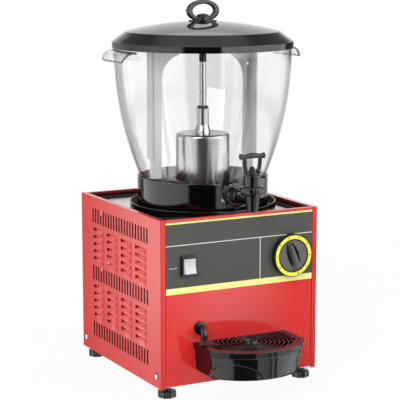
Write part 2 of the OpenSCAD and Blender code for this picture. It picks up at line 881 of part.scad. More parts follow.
// Drain elbow: flange on the panel, tube bent down, spigot behind the panel
spigot_tube_r = 4.4;
elbow_spigot_l = 14;
module drain_elbow() {
    color("black") translate([-drain_off, 0, drain_z]) difference() {
        union() {
            rod_y(0, 0, elbow_flange_r, front_y - elbow_flange_t, front_y);
            rod_y(0, 0, spigot_tube_r, front_y - cut, front_y + sheet_t + elbow_spigot_l);
            translate([0, elbow_y + elbow_bend, -elbow_bend]) rotate([90, 0, -90])
                rotate_extrude(angle = 90) translate([elbow_bend, 0]) circle(r = elbow_r);
            translate([0, elbow_y, -elbow_bend - elbow_end]) cylinder(r = elbow_r, h = elbow_end);
        }
        rod_y(0, 0, elbow_bore_r, front_y - elbow_flange_t, front_y + sheet_t + elbow_spigot_l + cut);
        translate([0, elbow_y + elbow_bend, -elbow_bend]) rotate([90, 0, -90])
            rotate_extrude(angle = 90) translate([elbow_bend, 0]) circle(r = elbow_bore_r);
        translate([0, elbow_y, -elbow_bend - elbow_end - cut])
            cylinder(r = elbow_bore_r, h = elbow_end + cut);
    }
}

// Hose from the dish's drain to the elbow's spigot
dish_drain_x = -drain_off;
dish_drain_y = bowl_y - sqrt(pow(dish_r - dish_wall - spigot_tube_r - 2, 2) - pow(drain_off, 2));
dish_spigot_l = 16;
hose_bore_r = (spigot_tube_r + run_gap) / cos(180 / tube_sides);
hose_route = rounded([[dish_drain_x, dish_drain_y, plate_under - 2],
    [dish_drain_x, dish_drain_y, drain_z], [-drain_off, front_y + sheet_t + 2, drain_z]], 16);
module drain_hose() {
    ends = len(hose_route) - 1;
    longer = concat([hose_route[0] + [0, 0, cut]], hose_route, [hose_route[ends] - [0, cut, 0]]);
    color("whitesmoke") difference() {
        tube(hose_route, hose_bore_r + hose_wall, sides_near(hose_route, [1, 0, 0]));
        tube(longer, hose_bore_r, sides_near(longer, [1, 0, 0]));
    }
}

// Upright prism of the tray's outline, drawn in by the distance d
module tray_prism(r, half_w, back, z0, z1) {
    intersection() {
        translate([0, tray_arc_y, z0]) cylinder(r = r, h = z1 - z0);
        block([-half_w, tray_arc_y - r - cut, z0 - cut], [half_w, back, z1 + cut]);
    }
}

// The tray's body, which narrows towards its bottom by the taper
module tray_body(d, z0) {
    top = tray_z - tray_rim_h + cut;
    body_r = tray_arc_r - tray_step - d;
    top_x = tray_half_w - tray_step - d;
    foot_x = top_x - tray_taper;
    intersection() {
        translate([0, tray_arc_y, z0])
            cylinder(r1 = body_r - tray_taper, r2 = body_r, h = top - z0);
        rotate([90, 0, 0]) translate([0, 0, -tray_back + d]) linear_extrude(tray_arc_r + tray_arc_off)
            polygon([[-foot_x, z0], [foot_x, z0], [top_x, top], [-top_x, top]]);
    }
}

// Corner of the tray under the drain elbow, left closed but for a funnel hole
module drain_corner(gap, z0, z1) {
    block([-tray_mouth_half_w - cut, tray_back - drain_block_d + gap, z0],
        [-tray_mouth_half_w + drain_block_w - gap, tray_back + 2 * cut, z1]);
}

tongue_z = tray_z - tray_rim_h - tongue_t;
module drip_tray() {
    ledge_z = grille_z - seat_gap;
    ledge_low = ledge_z - 3;
    color("black") difference() {
        union() {
            tray_body(0, tray_bottom);
            tray_prism(tray_arc_r, tray_half_w, tray_back, tray_z - tray_rim_h, tray_z);
            for (s = [-1, 1]) translate([s * tongue_off, 0, tongue_z])
                block([-tongue_w / 2, tray_back - cut, -tongue_t / 2],
                    [tongue_w / 2, front_y + tongue_l, tongue_t / 2]);
        }
        difference() {
            union() {
                intersection() {
                    tray_body(tray_wall, tray_floor);
                    block([-cabinet_w, front_reach, tray_floor - cut], [cabinet_w, tray_back, ledge_low]);
                }
                tray_prism(tray_mouth_r - tray_ledge_w, tray_mouth_half_w - tray_ledge_w,
                    grille_back - tray_ledge_w, ledge_low - cut, tray_z + cut);
                tray_prism(tray_mouth_r, tray_mouth_half_w, tray_back + cut, ledge_z, tray_z + cut);
            }
            drain_corner(0, ledge_low, tray_z + 2 * cut);
        }
        translate([-drain_off, elbow_y, ledge_low - cut])
            cylinder(r = elbow_r - 0.5, h = tray_z - ledge_low + 2 * cut);
    }
}

// Drip grille: rings of bars about a hub under the tap, with ribs below them
module drip_grille() {
    r = tray_mouth_r - 2 * run_gap;
    half_w = tray_mouth_half_w - 2 * run_gap;
    slot = bar_pitch - bar_w;
    rings = floor((r + abs(tap_y - tray_arc_y) - grille_hub_r) / bar_pitch);
    color("black") difference() {
        union() {
            difference() {
                tray_prism(r, half_w, grille_back, grille_z, grille_z + grille_t);
                intersection() {
                    tray_prism(r - grille_border, half_w - grille_border, grille_back + cut,
                        grille_z - cut, grille_z + grille_t + cut);
                    translate([0, tap_y, grille_z - cut]) for (i = [0 : rings])
                        difference() {
                            cylinder(r = grille_hub_r + i * bar_pitch + slot, h = grille_t + 2 * cut);
                            translate([0, 0, -cut])
                                cylinder(r = grille_hub_r + i * bar_pitch, h = grille_t + 4 * cut);
                        }
                }
            }
            intersection() {
                tray_prism(r - grille_border / 2, half_w - grille_border / 2, grille_back, grille_z,
                    grille_z + grille_t / 2);
                for (i = [0 : grille_ribs - 1]) translate([0, tap_y, grille_z])
                    rotate([0, 0, i * 360 / grille_ribs]) translate([0, -bar_w / 2, 0])
                        cube([tray_arc_r * 2, bar_w, grille_t / 2]);
            }
            translate([0, tap_y, grille_z])
                cylinder(r1 = grille_hub_r, r2 = grille_hub_r * 0.7, h = grille_t + grille_hub_h);
            intersection() {
                tray_prism(r, half_w, grille_back, grille_z, grille_z + grille_t);
                union() {
                    drain_corner(-bar_w * 1.5, grille_z, grille_z + grille_t);
                    block([-half_w, grille_back - bar_w, grille_z],
                        [half_w, grille_back, grille_z + grille_t / 2]);
                }
            }
        }
        drain_corner(-run_gap * 2, grille_z - cut, grille_z + grille_t + cut);
        translate([0, tap_y, grille_z + grille_t * 0.7])
            cylinder(r = grille_hub_r * 0.5, h = grille_t + grille_hub_h);
    }
}

module base_dish() {
    hole = evap_flange_r + run_gap;
    color("black") difference() {
        union() {
            turned([[hole, plate_z], [dish_r, plate_z], [dish_r, plate_z + dish_h],
                [dish_r - dish_wall, plate_z + dish_h], [dish_r - dish_wall, dish_floor_z],
                [hole, dish_floor_z]]);
            translate([dish_drain_x, dish_drain_y, plate_under - dish_spigot_l])
                cylinder(r = spigot_tube_r, h = dish_spigot_l + sheet_t + cut);
        }
        translate([dish_drain_x, dish_drain_y, plate_under - dish_spigot_l - cut])
            cylinder(r = elbow_bore_r, h = dish_spigot_l + sheet_t + dish_floor_t + 2 * cut);
    }
}

// The collar round the bowl's foot, open at the front for the tap
module bowl_collar() {
    ledge_r = collar_in_r - ledge_w;
    color("black") difference() {
        turned([[ledge_r, dish_floor_z], [collar_foot_r, dish_floor_z], [collar_top_r, collar_top_z],
            [collar_top_r - collar_wall, collar_top_z], [collar_in_r, dish_floor_z + ledge_h],
            [ledge_r, dish_floor_z + ledge_h]]);
        rod_y(0, tap_z, collar_slot_w / 2, bowl_y - collar_top_r - cut, bowl_y - ledge_r + cut);
        block([-collar_slot_w / 2, bowl_y - collar_top_r - cut, tap_z],
            [collar_slot_w / 2, bowl_y - ledge_r + cut, collar_top_z + cut]);
    }
}

module evaporator_cylinder() {
    color("lightsteelblue") difference() {
        turned(concat([[0, plate_z], [evap_flange_r, plate_z], [evap_flange_r, plate_z + evap_flange_t],
            [evap_r, plate_z + evap_flange_t]],
            arc([evap_r - evap_edge_r, evap_top_z - evap_edge_r], evap_edge_r, 0, 90),
            [[0, evap_top_z]]));
        turned([[0, plate_z - cut], [evap_r - evap_wall, plate_z - cut],
            [evap_r - evap_wall, evap_top_z - evap_edge_r], [evap_r - evap_edge_r, evap_top_z - evap_wall],
            [0, evap_top_z - evap_wall]]);
        translate([0, bowl_y, plate_z]) cylinder(r = guide_r + shaft_fit, h = evap_h + cut);
    }
}

// The coil goes up as one helix and comes down between its own turns
function coil_point(a, z) = [coil_r * cos(a), coil_r * sin(a), z];
coil_steps = coil_turns * 24;
coil_up = [for (i = [0 : coil_steps]) coil_point(coil_start + i * 15, coil_z + i * coil_pitch / 12)];
coil_turn_a = coil_start + coil_steps * 15;
coil_top = coil_up[coil_steps] + [0, 0, coil_pitch / 2];
coil_bend = [for (a = [30 : 30 : 150])
    let (s = asin(coil_pitch / 2 * sin(a) / coil_r) + coil_turn_a)
    coil_point(s, coil_top[2] - coil_pitch / 2 * cos(a))];
coil_down = [for (i = [coil_steps : -1 : -coil_tail_steps])
    coil_point(coil_start + i * 15, coil_z + coil_pitch + i * coil_pitch / 12)];
coil_tail = coil_down[len(coil_down) - 1];
coil_route = concat([coil_point(coil_start, plate_under), coil_point(coil_start, coil_z - 4),
    coil_point(coil_start + 1, coil_z - 1.5)], [for (i = [1 : coil_steps]) coil_up[i]], coil_bend,
    [for (i = [0 : len(coil_down) - 2]) coil_down[i]],
    [coil_point(coil_end - 1, coil_tail[2] - 1.5), coil_point(coil_end, coil_tail[2] - 4),
        coil_point(coil_end, plate_under)]);
module evaporator_coil() {
    color("peru") translate([0, bowl_y, 0]) tube(coil_route, coil_tube_r, sides_out(coil_route), 6);
}

module foam_core() {
    top = evap_top_z - evap_wall - evap_edge_r;
    outer_r = coil_r - coil_tube_r - 1;
    color("khaki") turned([[guide_r + run_gap, plate_z], [outer_r, plate_z], [outer_r, top],
        [guide_r + run_gap, top]]);
}

// Stainless guide tube through the cylinder, with a flared foot on its top
module shaft_guide() {
    color("lightsteelblue") difference() {
        turned([[0, plate_under], [guide_r, plate_under], [guide_r, evap_top_z], [guide_foot_r, evap_top_z],
            [guide_r, evap_top_z + guide_foot_h], [guide_r, guide_top_z], [0, guide_top_z]]);
        translate([0, bowl_y, plate_under - cut]) cylinder(r = guide_bore_r, h = cabinet_h * 2);
    }
}

module shaft_bushes() {
    color("goldenrod") for (z = [plate_under, guide_top_z - bush_l]) translate([0, bowl_y, z]) difference() {
        cylinder(r = guide_bore_r - shaft_fit / 2, h = bush_l);
        translate([0, 0, -cut]) cylinder(r = shaft_r + shaft_fit, h = bush_l + 2 * cut);
    }
}

module shaft_seal() {
    color("black") difference() {
        turned([[0, guide_top_z], [guide_r - 0.7, guide_top_z], [guide_r - 1.7, guide_top_z + seal_t],
            [0, guide_top_z + seal_t]]);
        translate([0, bowl_y, guide_top_z - cut]) cylinder(r = shaft_r + shaft_fit, h = seal_t + 2 * cut);
    }
}

// Spigot with a flat, which turns the stirrer's hub
module spigot(r, l) {
    intersection() {
        cylinder(r = r, h = l);
        translate([-2 * r, -2 * r, -cut]) cube([3 * r - spigot_flat, 4 * r, l + 2 * cut]);
    }
}

module drive_shaft() {
    foot = gearbox_z - gearbox_h + gearbox_wall + run_gap;
    color("silver") translate([0, bowl_y, 0]) {
        translate([0, 0, foot]) cylinder(r = shaft_r, h = shoulder_z - foot);
        translate([0, 0, shoulder_z - cut]) spigot(spigot_r, spigot_l + cut);
    }
}

// Worm wheel on the shaft
module worm_wheel() {
    tooth = 1.5;
    outline = [for (i = [0 : wheel_teeth * 4 - 1])
        let (r = i % 4 < 2 ? wheel_r : wheel_r - tooth, a = i * 90 / wheel_teeth) r * [cos(a), sin(a)]];
    color("goldenrod") translate([0, bowl_y, wheel_z - wheel_t / 2]) difference() {
        linear_extrude(wheel_t) polygon(outline);
        translate([0, 0, -cut]) cylinder(r = shaft_r + shaft_fit / 2, h = wheel_t + 2 * cut);
    }
}

// Worm on the motor's shaft, with its thread as grooves
worm_half_l = wheel_r * 0.7;
motor_shaft_r = 3;
module worm() {
    groove = 1.5;
    pitch = 5;
    turns = floor(2 * worm_half_l / pitch);
    flank = [for (i = [0 : turns - 1]) each [[worm_r, i * pitch], [worm_r, i * pitch + 2],
        [worm_r - groove, i * pitch + 3], [worm_r - groove, i * pitch + 4]]];
    color("silver") {
        translate([-turns * pitch / 2, worm_y, wheel_z]) rotate([0, 90, 0])
            rotate_extrude() polygon(concat([[0, 0]], flank, [[0, turns * pitch - 1]]));
        rod_x(worm_y, wheel_z, motor_shaft_r, -gearbox_w / 2 + run_gap, gearbox_w / 2 + motor_l / 2);
    }
}

module gearbox_housing() {
    z0 = gearbox_z - gearbox_h;
    color("dimgrey") difference() {
        block([-gearbox_w / 2, gearbox_y0, z0], [gearbox_w / 2, gearbox_y1, gearbox_z]);
        block([-gearbox_w / 2 + gearbox_wall, gearbox_y0 + gearbox_wall, z0 + gearbox_wall],
            [gearbox_w / 2 - gearbox_wall, gearbox_y1 - gearbox_wall, gearbox_z - gearbox_wall]);
        translate([0, bowl_y, gearbox_z - gearbox_wall - cut])
            cylinder(r = shaft_r + shaft_fit, h = gearbox_wall + 2 * cut);
        rod_x(worm_y, wheel_z, motor_shaft_r + shaft_fit, -gearbox_w / 2 - cut, gearbox_w / 2 + cut);
    }
}

module gearbox_spacers() {
    color("silver") for (x = [-1, 1]) for (y = [gearbox_y0 + 6, gearbox_y1 - 6])
        translate([x * gearbox_w / 4, y, gearbox_z]) cylinder(r = 4, h = gearbox_drop);
}

module drive_motor() {
    x0 = gearbox_w / 2;
    color("grey") difference() {
        union() {
            rod_x(worm_y, wheel_z, motor_r, x0, x0 + motor_l);
            rod_x(worm_y, wheel_z, motor_r * 0.4, x0 + motor_l - cut, x0 + motor_l + 3);
        }
        rod_x(worm_y, wheel_z, motor_shaft_r + shaft_fit, x0 - cut, x0 + motor_l / 2 + run_gap);
    }
}

module stirrer_hub() {
    z0 = shoulder_z + seat_gap;
    color("black") translate([0, bowl_y, z0]) difference() {
        union() {
            cylinder(r = hub_r, h = hub_h);
            translate([0, 0, hub_h - cut]) cylinder(r1 = hub_r, r2 = hub_r * 0.6, h = 2 + cut);
        }
        translate([0, 0, -cut]) spigot(spigot_r + shaft_fit * 2, spigot_l + cut + run_gap);
        translate([0, 0, frame_bar_z - z0]) {
            cube([4 * hub_r, frame_t + shaft_fit, 2 * frame_slot_h], center = true);
        }
    }
}

// Stirrer frame: an arch of sheet with a fin bent from each leg, held in a slot through the hub
frame_bar_z = frame_top_z - frame_bar_h / 2;
frame_slot_h = frame_bar_h / 2 + shaft_fit;
module stirrer_frame() {
    w = frame_half_w;
    inner_x = w - leg_w;
    inner_z = frame_top_z - frame_bar_h;
    fin_top = frame_top_z - frame_outer_r;
    bend_x = w - frame_outer_r;
    hollow_x = inner_x - frame_inner_r;
    hollow_z = inner_z - frame_inner_r;
    outer = concat([[-w, leg_z]], arc([-bend_x, fin_top], frame_outer_r, 180, 90),
        arc([bend_x, fin_top], frame_outer_r, 90, 0), [[w, leg_z]]);
    inner = concat([[inner_x, leg_z]], arc([hollow_x, hollow_z], frame_inner_r, 0, 90),
        arc([-hollow_x, hollow_z], frame_inner_r, 90, 180), [[-inner_x, leg_z]]);
    color("lightsteelblue") translate([0, bowl_y, 0]) {
        difference() {
            rotate([90, 0, 0]) linear_extrude(frame_t, center = true) polygon(concat(outer, inner));
            rod_y(w - leg_w / 2, leg_z + (fin_top - leg_z) * 0.93, 1.5, -frame_t, frame_t);
        }
        for (s = [0, 180]) rotate([0, 0, s]) {
            block([w - frame_t, -fin_low_w, leg_z], [w, 0, leg_z + fin_low_h]);
            block([w - frame_t, -fin_w, leg_z + fin_low_h], [w, 0, fin_top]);
        }
    }
}

// Outline of the bowl's outside, and of its inside at the distance of the wall
bowl_curve = arc_centre([bowl_waist_r, waist_z], [bowl_rim_r, rim_z], bowl_curve_r);
module bowl_solid(inset, floor_z, top_z) {
    turned(concat([[0, floor_z], [bowl_foot_r - inset - 3, floor_z], [bowl_foot_r - inset, floor_z + 3]],
        arc_up(bowl_curve, bowl_curve_r - inset, waist_z, rim_z),
        [[arc_up(bowl_curve, bowl_curve_r - inset, waist_z, rim_z)[curve_steps][0], top_z], [0, top_z]]));
}

// Ear on the bowl's right side: a sloping plate with a lip
ear_z = rim_z - ear_below;
ear_tip_x = bowl_rim_r + ear_reach;
module ear() {
    root_x = bowl_rim_r - 2 * bowl_wall;
    tip_z = ear_z - ear_drop;
    lip_z = tip_z - ear_t - ear_lip;
    inner_z = tip_z - ear_t + ear_t * ear_drop / ear_reach;
    translate([0, bowl_y, 0]) intersection() {
        rotate([90, 0, 0]) linear_extrude(ear_root_w, center = true)
            polygon([[root_x, ear_z], [bowl_rim_r, ear_z], [ear_tip_x, tip_z], [ear_tip_x, lip_z],
                [ear_tip_x - ear_t, lip_z], [ear_tip_x - ear_t, inner_z], [bowl_rim_r, ear_z - ear_t],
                [root_x, ear_z - ear_t]]);
        translate([0, 0, lip_z - cut]) linear_extrude(4 * ear_drop)
            polygon([[root_x, -ear_root_w / 2], [bowl_rim_r, -ear_root_w / 2], [ear_tip_x, -ear_tip_w / 2],
                [ear_tip_x, ear_tip_w / 2], [bowl_rim_r, ear_root_w / 2], [root_x, ear_root_w / 2]]);
    }
}

module bowl() {
    color("azure", 0.4) difference() {
        union() {
            difference() {
                union() {
                    bowl_solid(0, bowl_z, rim_z);
                    ear();
                    mirror([1, 0, 0]) ear();
                }
                bowl_solid(bowl_wall, bowl_floor_z, rim_z + cut);
            }
            rod_y(0, tap_z, boss_r, bowl_y - boss_face, lock_nut_y);
        }
        translate([0, bowl_y, bowl_z - cut]) cylinder(r = hole_r, h = bowl_floor_t + 2 * cut);
        rod_y(0, tap_z, shank_r + shaft_fit, bowl_y - boss_face - cut, lock_nut_y + cut);
    }
}

// Gasket that seals the bowl's floor on the evaporator cylinder
module bowl_gasket() {
    lip_r = hole_r + 4;
    neck_r = hole_r - shaft_fit;
    bore_r = evap_r + run_gap;
    low_z = bowl_z - gasket_t;
    high_z = bowl_floor_z + gasket_t;
    color("whitesmoke") turned([[bore_r, low_z], [lip_r, low_z], [lip_r, bowl_z], [neck_r, bowl_z],
        [neck_r, bowl_floor_z], [lip_r, bowl_floor_z], [lip_r, high_z], [bore_r, high_z]]);
}

module tap_body() {
    color("black") difference() {
        union() {
            translate([0, tap_y, spout_z])
                cylinder(r1 = spout_r, r2 = spout_top_r, h = bonnet_z - spout_z);
            rod_y(0, tap_z, shank_r, tap_y, lock_nut_y + lock_nut_t + 1);
            rod_y(0, tap_z, tap_flange_r, tap_flange_y - tap_flange_t, tap_flange_y);
            rod_y(0, tap_z, tap_flange_r * 0.72, tap_flange_y - 2.2 * tap_flange_t, tap_flange_y);
        }
        translate([0, tap_y, spout_z - cut]) cylinder(r = spout_bore_r, h = bonnet_z - spout_z);
        translate([0, tap_y, seat_z]) cylinder(r = chamber_r, h = bonnet_z - seat_z + cut);
        rod_y(0, tap_z, shank_bore_r, tap_y, lock_nut_y + lock_nut_t + 1 + cut);
    }
}

module tap_washer() {
    color("whitesmoke") difference() {
        rod_y(0, tap_z, tap_flange_r, tap_flange_y, washer_y);
        rod_y(0, tap_z, shank_r + shaft_fit, tap_flange_y - cut, washer_y + cut);
    }
}

// Hex lock nut inside the bowl
module tap_lock_nut() {
    color("black") translate([0, lock_nut_y + lock_nut_t, tap_z]) rotate([90, 0, 0]) difference() {
        cylinder(r = lock_nut_r, h = lock_nut_t, $fn = 6);
        translate([0, 0, -cut]) cylinder(r = shank_r + shaft_fit, h = lock_nut_t + 2 * cut);
    }
}

module tap_bonnet() {
    color("black") translate([0, tap_y, bonnet_z]) difference() {
        union() {
            cylinder(r = spout_top_r, h = bonnet_flange_t);
            cylinder(r = bonnet_r, h = bonnet_top_z - bonnet_z);
        }
        translate([0, 0, -cut]) cylinder(r = chamber_r, h = bonnet_top_z - bonnet_z - bonnet_top_t + cut);
        cylinder(r = stem_r + shaft_fit, h = bonnet_top_z - bonnet_z + cut);
    }
}

module tap_bonnet_nut() {
    grips = 10;
    grip_r = 2;
    color("black") translate([0, tap_y, bonnet_z]) difference() {
        cylinder(r = bonnet_nut_r, h = bonnet_nut_h);
        translate([0, 0, -cut]) cylinder(r = spout_top_r + run_gap / 2, h = bonnet_flange_t + cut);
        cylinder(r = bonnet_r + run_gap / 2, h = bonnet_nut_h + cut);
        for (i = [0 : grips - 1]) rotate([0, 0, i * 360 / grips])
            translate([bonnet_nut_r + grip_r / 2, 0, -cut])
                cylinder(r = grip_r, h = bonnet_nut_h + 2 * cut);
    }
}

// Valve stem with its lever pin; its lower end holds the valve cup
stem_tip_r = 2.5;
stem_foot_z = seat_z + seat_gap + cup_h;
module valve_stem() {
    ball_z = bonnet_top_z + stem_rise - stem_r;
    color("black") {
        translate([0, tap_y, 0]) {
            translate([0, 0, stem_foot_z]) cylinder(r = stem_r, h = ball_z - stem_foot_z);
            translate([0, 0, ball_z]) sphere(r = stem_r);
            translate([0, 0, stem_foot_z - cup_h / 2]) cylinder(r = stem_tip_r, h = cup_h);
        }
        rod_x(tap_y, lever_pin_z, pin_r, -cam_x - arm_t - 1, cam_x + arm_t + 1);
    }
}

module valve_cup() {
    color("whitesmoke") translate([0, tap_y, seat_z + seat_gap]) difference() {
        cylinder(r1 = chamber_r - 1.6, r2 = chamber_r - 2 * run_gap, h = cup_h);
        translate([0, 0, cup_h / 2]) cylinder(r = stem_tip_r, h = cup_h);
    }
}

// Valve spring between the cup and the bonnet's top
spring_r = chamber_r - run_gap - spring_wire_r;
spring_z0 = stem_foot_z + spring_wire_r + shaft_fit;
spring_z1 = bonnet_top_z - bonnet_top_t - spring_wire_r - shaft_fit;
spring_steps = spring_turns * 12;
spring_route = [for (i = [0 : spring_steps]) [spring_r * cos(i * 30), spring_r * sin(i * 30),
    spring_z0 + (spring_z1 - spring_z0) * i / spring_steps]];
module valve_spring() {
    color("silver") translate([0, tap_y, 0]) tube(spring_route, spring_wire_r, sides_out(spring_route), 6);
}

// Cam whose reach below the pin grows steadily as the lever tilts
cam_rate = stem_lift / (lever_throw * PI / 180);
cam_curve = [for (a = [0 : lever_throw / curve_steps : lever_throw])
    let (h = cam_r + cam_rate * a * PI / 180)
    [-h * sin(a) - cam_rate * cos(a), -h * cos(a) + cam_rate * sin(a)]];
module tap_lever() {
    bar_z = lever_pin_z + lever_h;
    color("black") difference() {
        union() {
            for (s = [-1, 1]) {
                translate([s * (cam_x + arm_t / 2), tap_y, lever_pin_z]) {
                    rod_x(0, 0, cam_r, -arm_t / 2, arm_t / 2);
                    rotate([90, 0, 90]) linear_extrude(arm_t, center = true)
                        polygon(concat([[0, 0], [0, -cam_r]], cam_curve));
                }
                translate([0, tap_y, 0]) rotate([90, 0, 0]) linear_extrude(arm_w, center = true)
                    polygon([[s * cam_x, lever_pin_z], [s * (cam_x + arm_t), lever_pin_z],
                        [s * (cam_x + arm_t + arm_spread * 0.85), lever_pin_z + lever_h * 0.5],
                        [s * (cam_x + arm_t + arm_spread), bar_z], [s * (cam_x + arm_spread), bar_z],
                        [s * (cam_x + arm_spread * 0.85), lever_pin_z + lever_h * 0.5]]);
                translate([s * bar_half_l, tap_y, bar_z]) sphere(r = ball_r);
            }
            rod_x(tap_y, bar_z, lever_bar_r, -bar_half_l, bar_half_l);
        }
        rod_x(tap_y, lever_pin_z, pin_r + shaft_fit, -cam_x - 2 * arm_t, cam_x + 2 * arm_t);
    }
}

// Lid: skirt over the bowl's rim, step on the rim, sloping shoulder and domed crown
module lid() {
    centre = [0, lid_top_z - lid_crown_curve_r];
    half_angle = asin(lid_crown_r / lid_crown_curve_r);
    pad_angle = asin(lid_pad_r / lid_crown_curve_r);
    inner_curve_r = lid_crown_curve_r - lid_wall;
    skirt_r = bowl_rim_r + lid_gap;
    color("black") difference() {
        turned(concat([[0, lid_z], [lid_r, lid_z], [lid_r, lid_band_z], [lid_crown_r, lid_crown_z]],
            arc(centre, lid_crown_curve_r, 90 - half_angle, 90 - pad_angle), [[0, pad_z]]));
        turned(concat([[0, lid_z - cut], [skirt_r, lid_z - cut], [skirt_r, lid_seat_z],
            [lid_step_r, lid_seat_z], [lid_step_r, lid_band_z - lid_wall / 2],
            [lid_crown_r - lid_wall, lid_crown_z - lid_wall]],
            arc(centre, inner_curve_r, 90 - half_angle * 0.9, 90 - pad_angle), [[0, pad_z - lid_wall]]));
        translate([0, bowl_y, pad_z - 2 * lid_wall])
            cylinder(r = handle_screw_r + shaft_fit, h = 3 * lid_wall);
    }
}

// Points of an ellipse about the origin
function ellipse(a, b) = [for (i = [0 : 4 * curve_steps - 1]) let (t = i * 90 / curve_steps)
    [a * cos(t), b * sin(t)]];
module lid_handle() {
    ring_h = handle_h - handle_base_t;
    outer_b = ring_h * 0.56;
    color("black") translate([0, bowl_y, pad_z]) difference() {
        union() {
            cylinder(r = handle_base_r, h = handle_base_t);
            translate([0, 0, handle_base_t - cut / 2])
                cylinder(r1 = handle_hub_r, r2 = handle_hub_r * 0.7, h = handle_hub_h - handle_base_t);
            intersection() {
                translate([0, 0, handle_h - outer_b]) rotate([90, 0, 0])
                    linear_extrude(handle_d, center = true) difference() {
                        polygon(ellipse(handle_half_w, outer_b));
                        polygon(ellipse(handle_half_w - handle_side_w, outer_b - handle_top_t));
                    }
                block([-handle_half_w - cut, -handle_d, handle_base_t / 2],
                    [handle_half_w + cut, handle_d, handle_h + cut]);
            }
        }
        translate([0, 0, -cut]) cylinder(r = handle_screw_r + shaft_fit, h = handle_hub_h + 2 * cut);
        translate([0, 0, handle_hub_h - 3]) cylinder(r = handle_screw_r * 2 + run_gap, h = 4);
    }
}

module lid_screw() {
    head_r = handle_screw_r * 2;
    color("silver") translate([0, bowl_y, pad_z]) {
        translate([0, 0, -lid_wall - 3]) cylinder(r = handle_screw_r, h = handle_hub_h + lid_wall);
        translate([0, 0, handle_hub_h - 3]) cylinder(r = head_r, h = 1.6);
        translate([0, 0, -lid_wall - 3]) cylinder(r = head_r, h = 3, $fn = 6);
    }
}

// Compressor: steel can on a mounting plate with two pipe stubs
module compressor() {
    seam = comp_h * 0.55;
    color("black") translate([comp_x, comp_y, comp_z]) difference() {
        union() {
            block([-comp_half_w, -comp_half_w, 0], [comp_half_w, comp_half_w, comp_plate_t]);
            rotate_extrude() polygon([[0, 0], [comp_r * 0.85, 0], [comp_r, 12], [comp_r, seam],
                [comp_r + 1.5, seam], [comp_r + 1.5, seam + 4], [comp_r, seam + 4], [comp_r, comp_h * 0.86],
                [comp_r * 0.8, comp_h * 0.96], [comp_r * 0.5, comp_h], [0, comp_h]]);
            for (s = [-1, 1]) translate([s * comp_stub_off, comp_stub_off, comp_h * 0.8])
                cylinder(r = comp_stub_r, h = comp_stub_z - comp_z - comp_h * 0.8);
        }
        for (x = [-1, 1]) for (y = [-1, 1]) translate([x * grommet_off, y * grommet_off, -cut])
            cylinder(r = grommet_r * 0.5 + shaft_fit, h = comp_plate_t + 2 * cut);
    }
}

// Rubber grommets under the compressor
module compressor_grommets() {
    color("dimgrey") for (x = [-1, 1]) for (y = [-1, 1])
        translate([comp_x + x * grommet_off, comp_y + y * grommet_off, pan_top]) {
            cylinder(r = grommet_r, h = grommet_h);
            cylinder(r = grommet_r * 0.5, h = grommet_h + comp_plate_t + 3);
        }
}

// Condenser: fins on rows of tube between two end plates
module condenser() {
    fins = floor((cond_w - 4) / cond_fin_pitch);
    tube_r = 4;
    y0 = cond_y - cond_w / 2;
    color("silver") {
        for (i = [0 : fins])
            block([cond_x0 + 2, y0 + 2 + i * cond_fin_pitch, cond_z + 4],
                [cond_x1 - 2, y0 + 2 + i * cond_fin_pitch + cond_fin_t, cond_z + cond_h - 4]);
        for (y = [y0, y0 + cond_w - 1.5]) block([cond_x0, y, cond_z], [cond_x1, y + 1.5, cond_z + cond_h]);
        for (i = [0 : cond_rows - 1])
            rod_y(cond_mid_x, cond_z + cond_h * (i + 0.5) / cond_rows, tube_r, y0 - 3, y0 + cond_w + 3);
        translate([cond_mid_x, cond_in_y, cond_z + cond_h - 12]) cylinder(r = comp_stub_r, h = 20);
    }
}
cond_in_y = comp_y + comp_stub_off;

// Shroud on the condenser
module fan_shroud() {
    y0 = cond_y - cond_w / 2;
    color("silver") difference() {
        union() {
            block([shroud_x, y0, cond_z], [cond_x0, y0 + cond_w, cond_z + cond_h]);
            rod_x(cond_y, fan_z, fan_bore_r + shroud_t, shroud_x - fan_d * 0.6, shroud_x + shroud_t);
        }
        rod_x(cond_y, fan_z, fan_bore_r, shroud_x - fan_d, cond_x0 + cut);
    }
}

// Fan motor on its bracket
fan_hub_r = 14;
fan_shaft_r = 3;
module fan_motor() {
    x1 = fan_x - 4;
    x0 = x1 - fan_motor_l;
    color("grey") difference() {
        union() {
            rod_x(cond_y, fan_z, fan_motor_r, x0, x1);
            block([x0 + 6, cond_y - 14, pan_top], [x0 + 9, cond_y + 14, fan_z]);
            block([x0 + 6, cond_y - 14, pan_top], [x0 + 34, cond_y + 14, pan_top + 2]);
        }
        rod_x(cond_y, fan_z, fan_shaft_r + shaft_fit, x0 + fan_motor_l / 3, x1 + cut);
    }
}

module fan_blades() {
    blade_t = 1.6;
    color("white") {
        rod_x(cond_y, fan_z, fan_hub_r, fan_x, fan_x + fan_d);
        rod_x(cond_y, fan_z, fan_shaft_r, fan_x - 4 - fan_motor_l / 2, fan_x + cut);
        intersection() {
            rod_x(cond_y, fan_z, fan_r, fan_x, fan_x + fan_d);
            for (i = [0 : fan_blades_n - 1]) translate([fan_x + fan_d / 2, cond_y, fan_z])
                rotate([i * 360 / fan_blades_n, 0, 0]) rotate([0, 0, 35])
                    translate([-fan_d, -blade_t / 2, fan_hub_r - 3]) cube([2 * fan_d, blade_t, fan_r]);
        }
    }
}

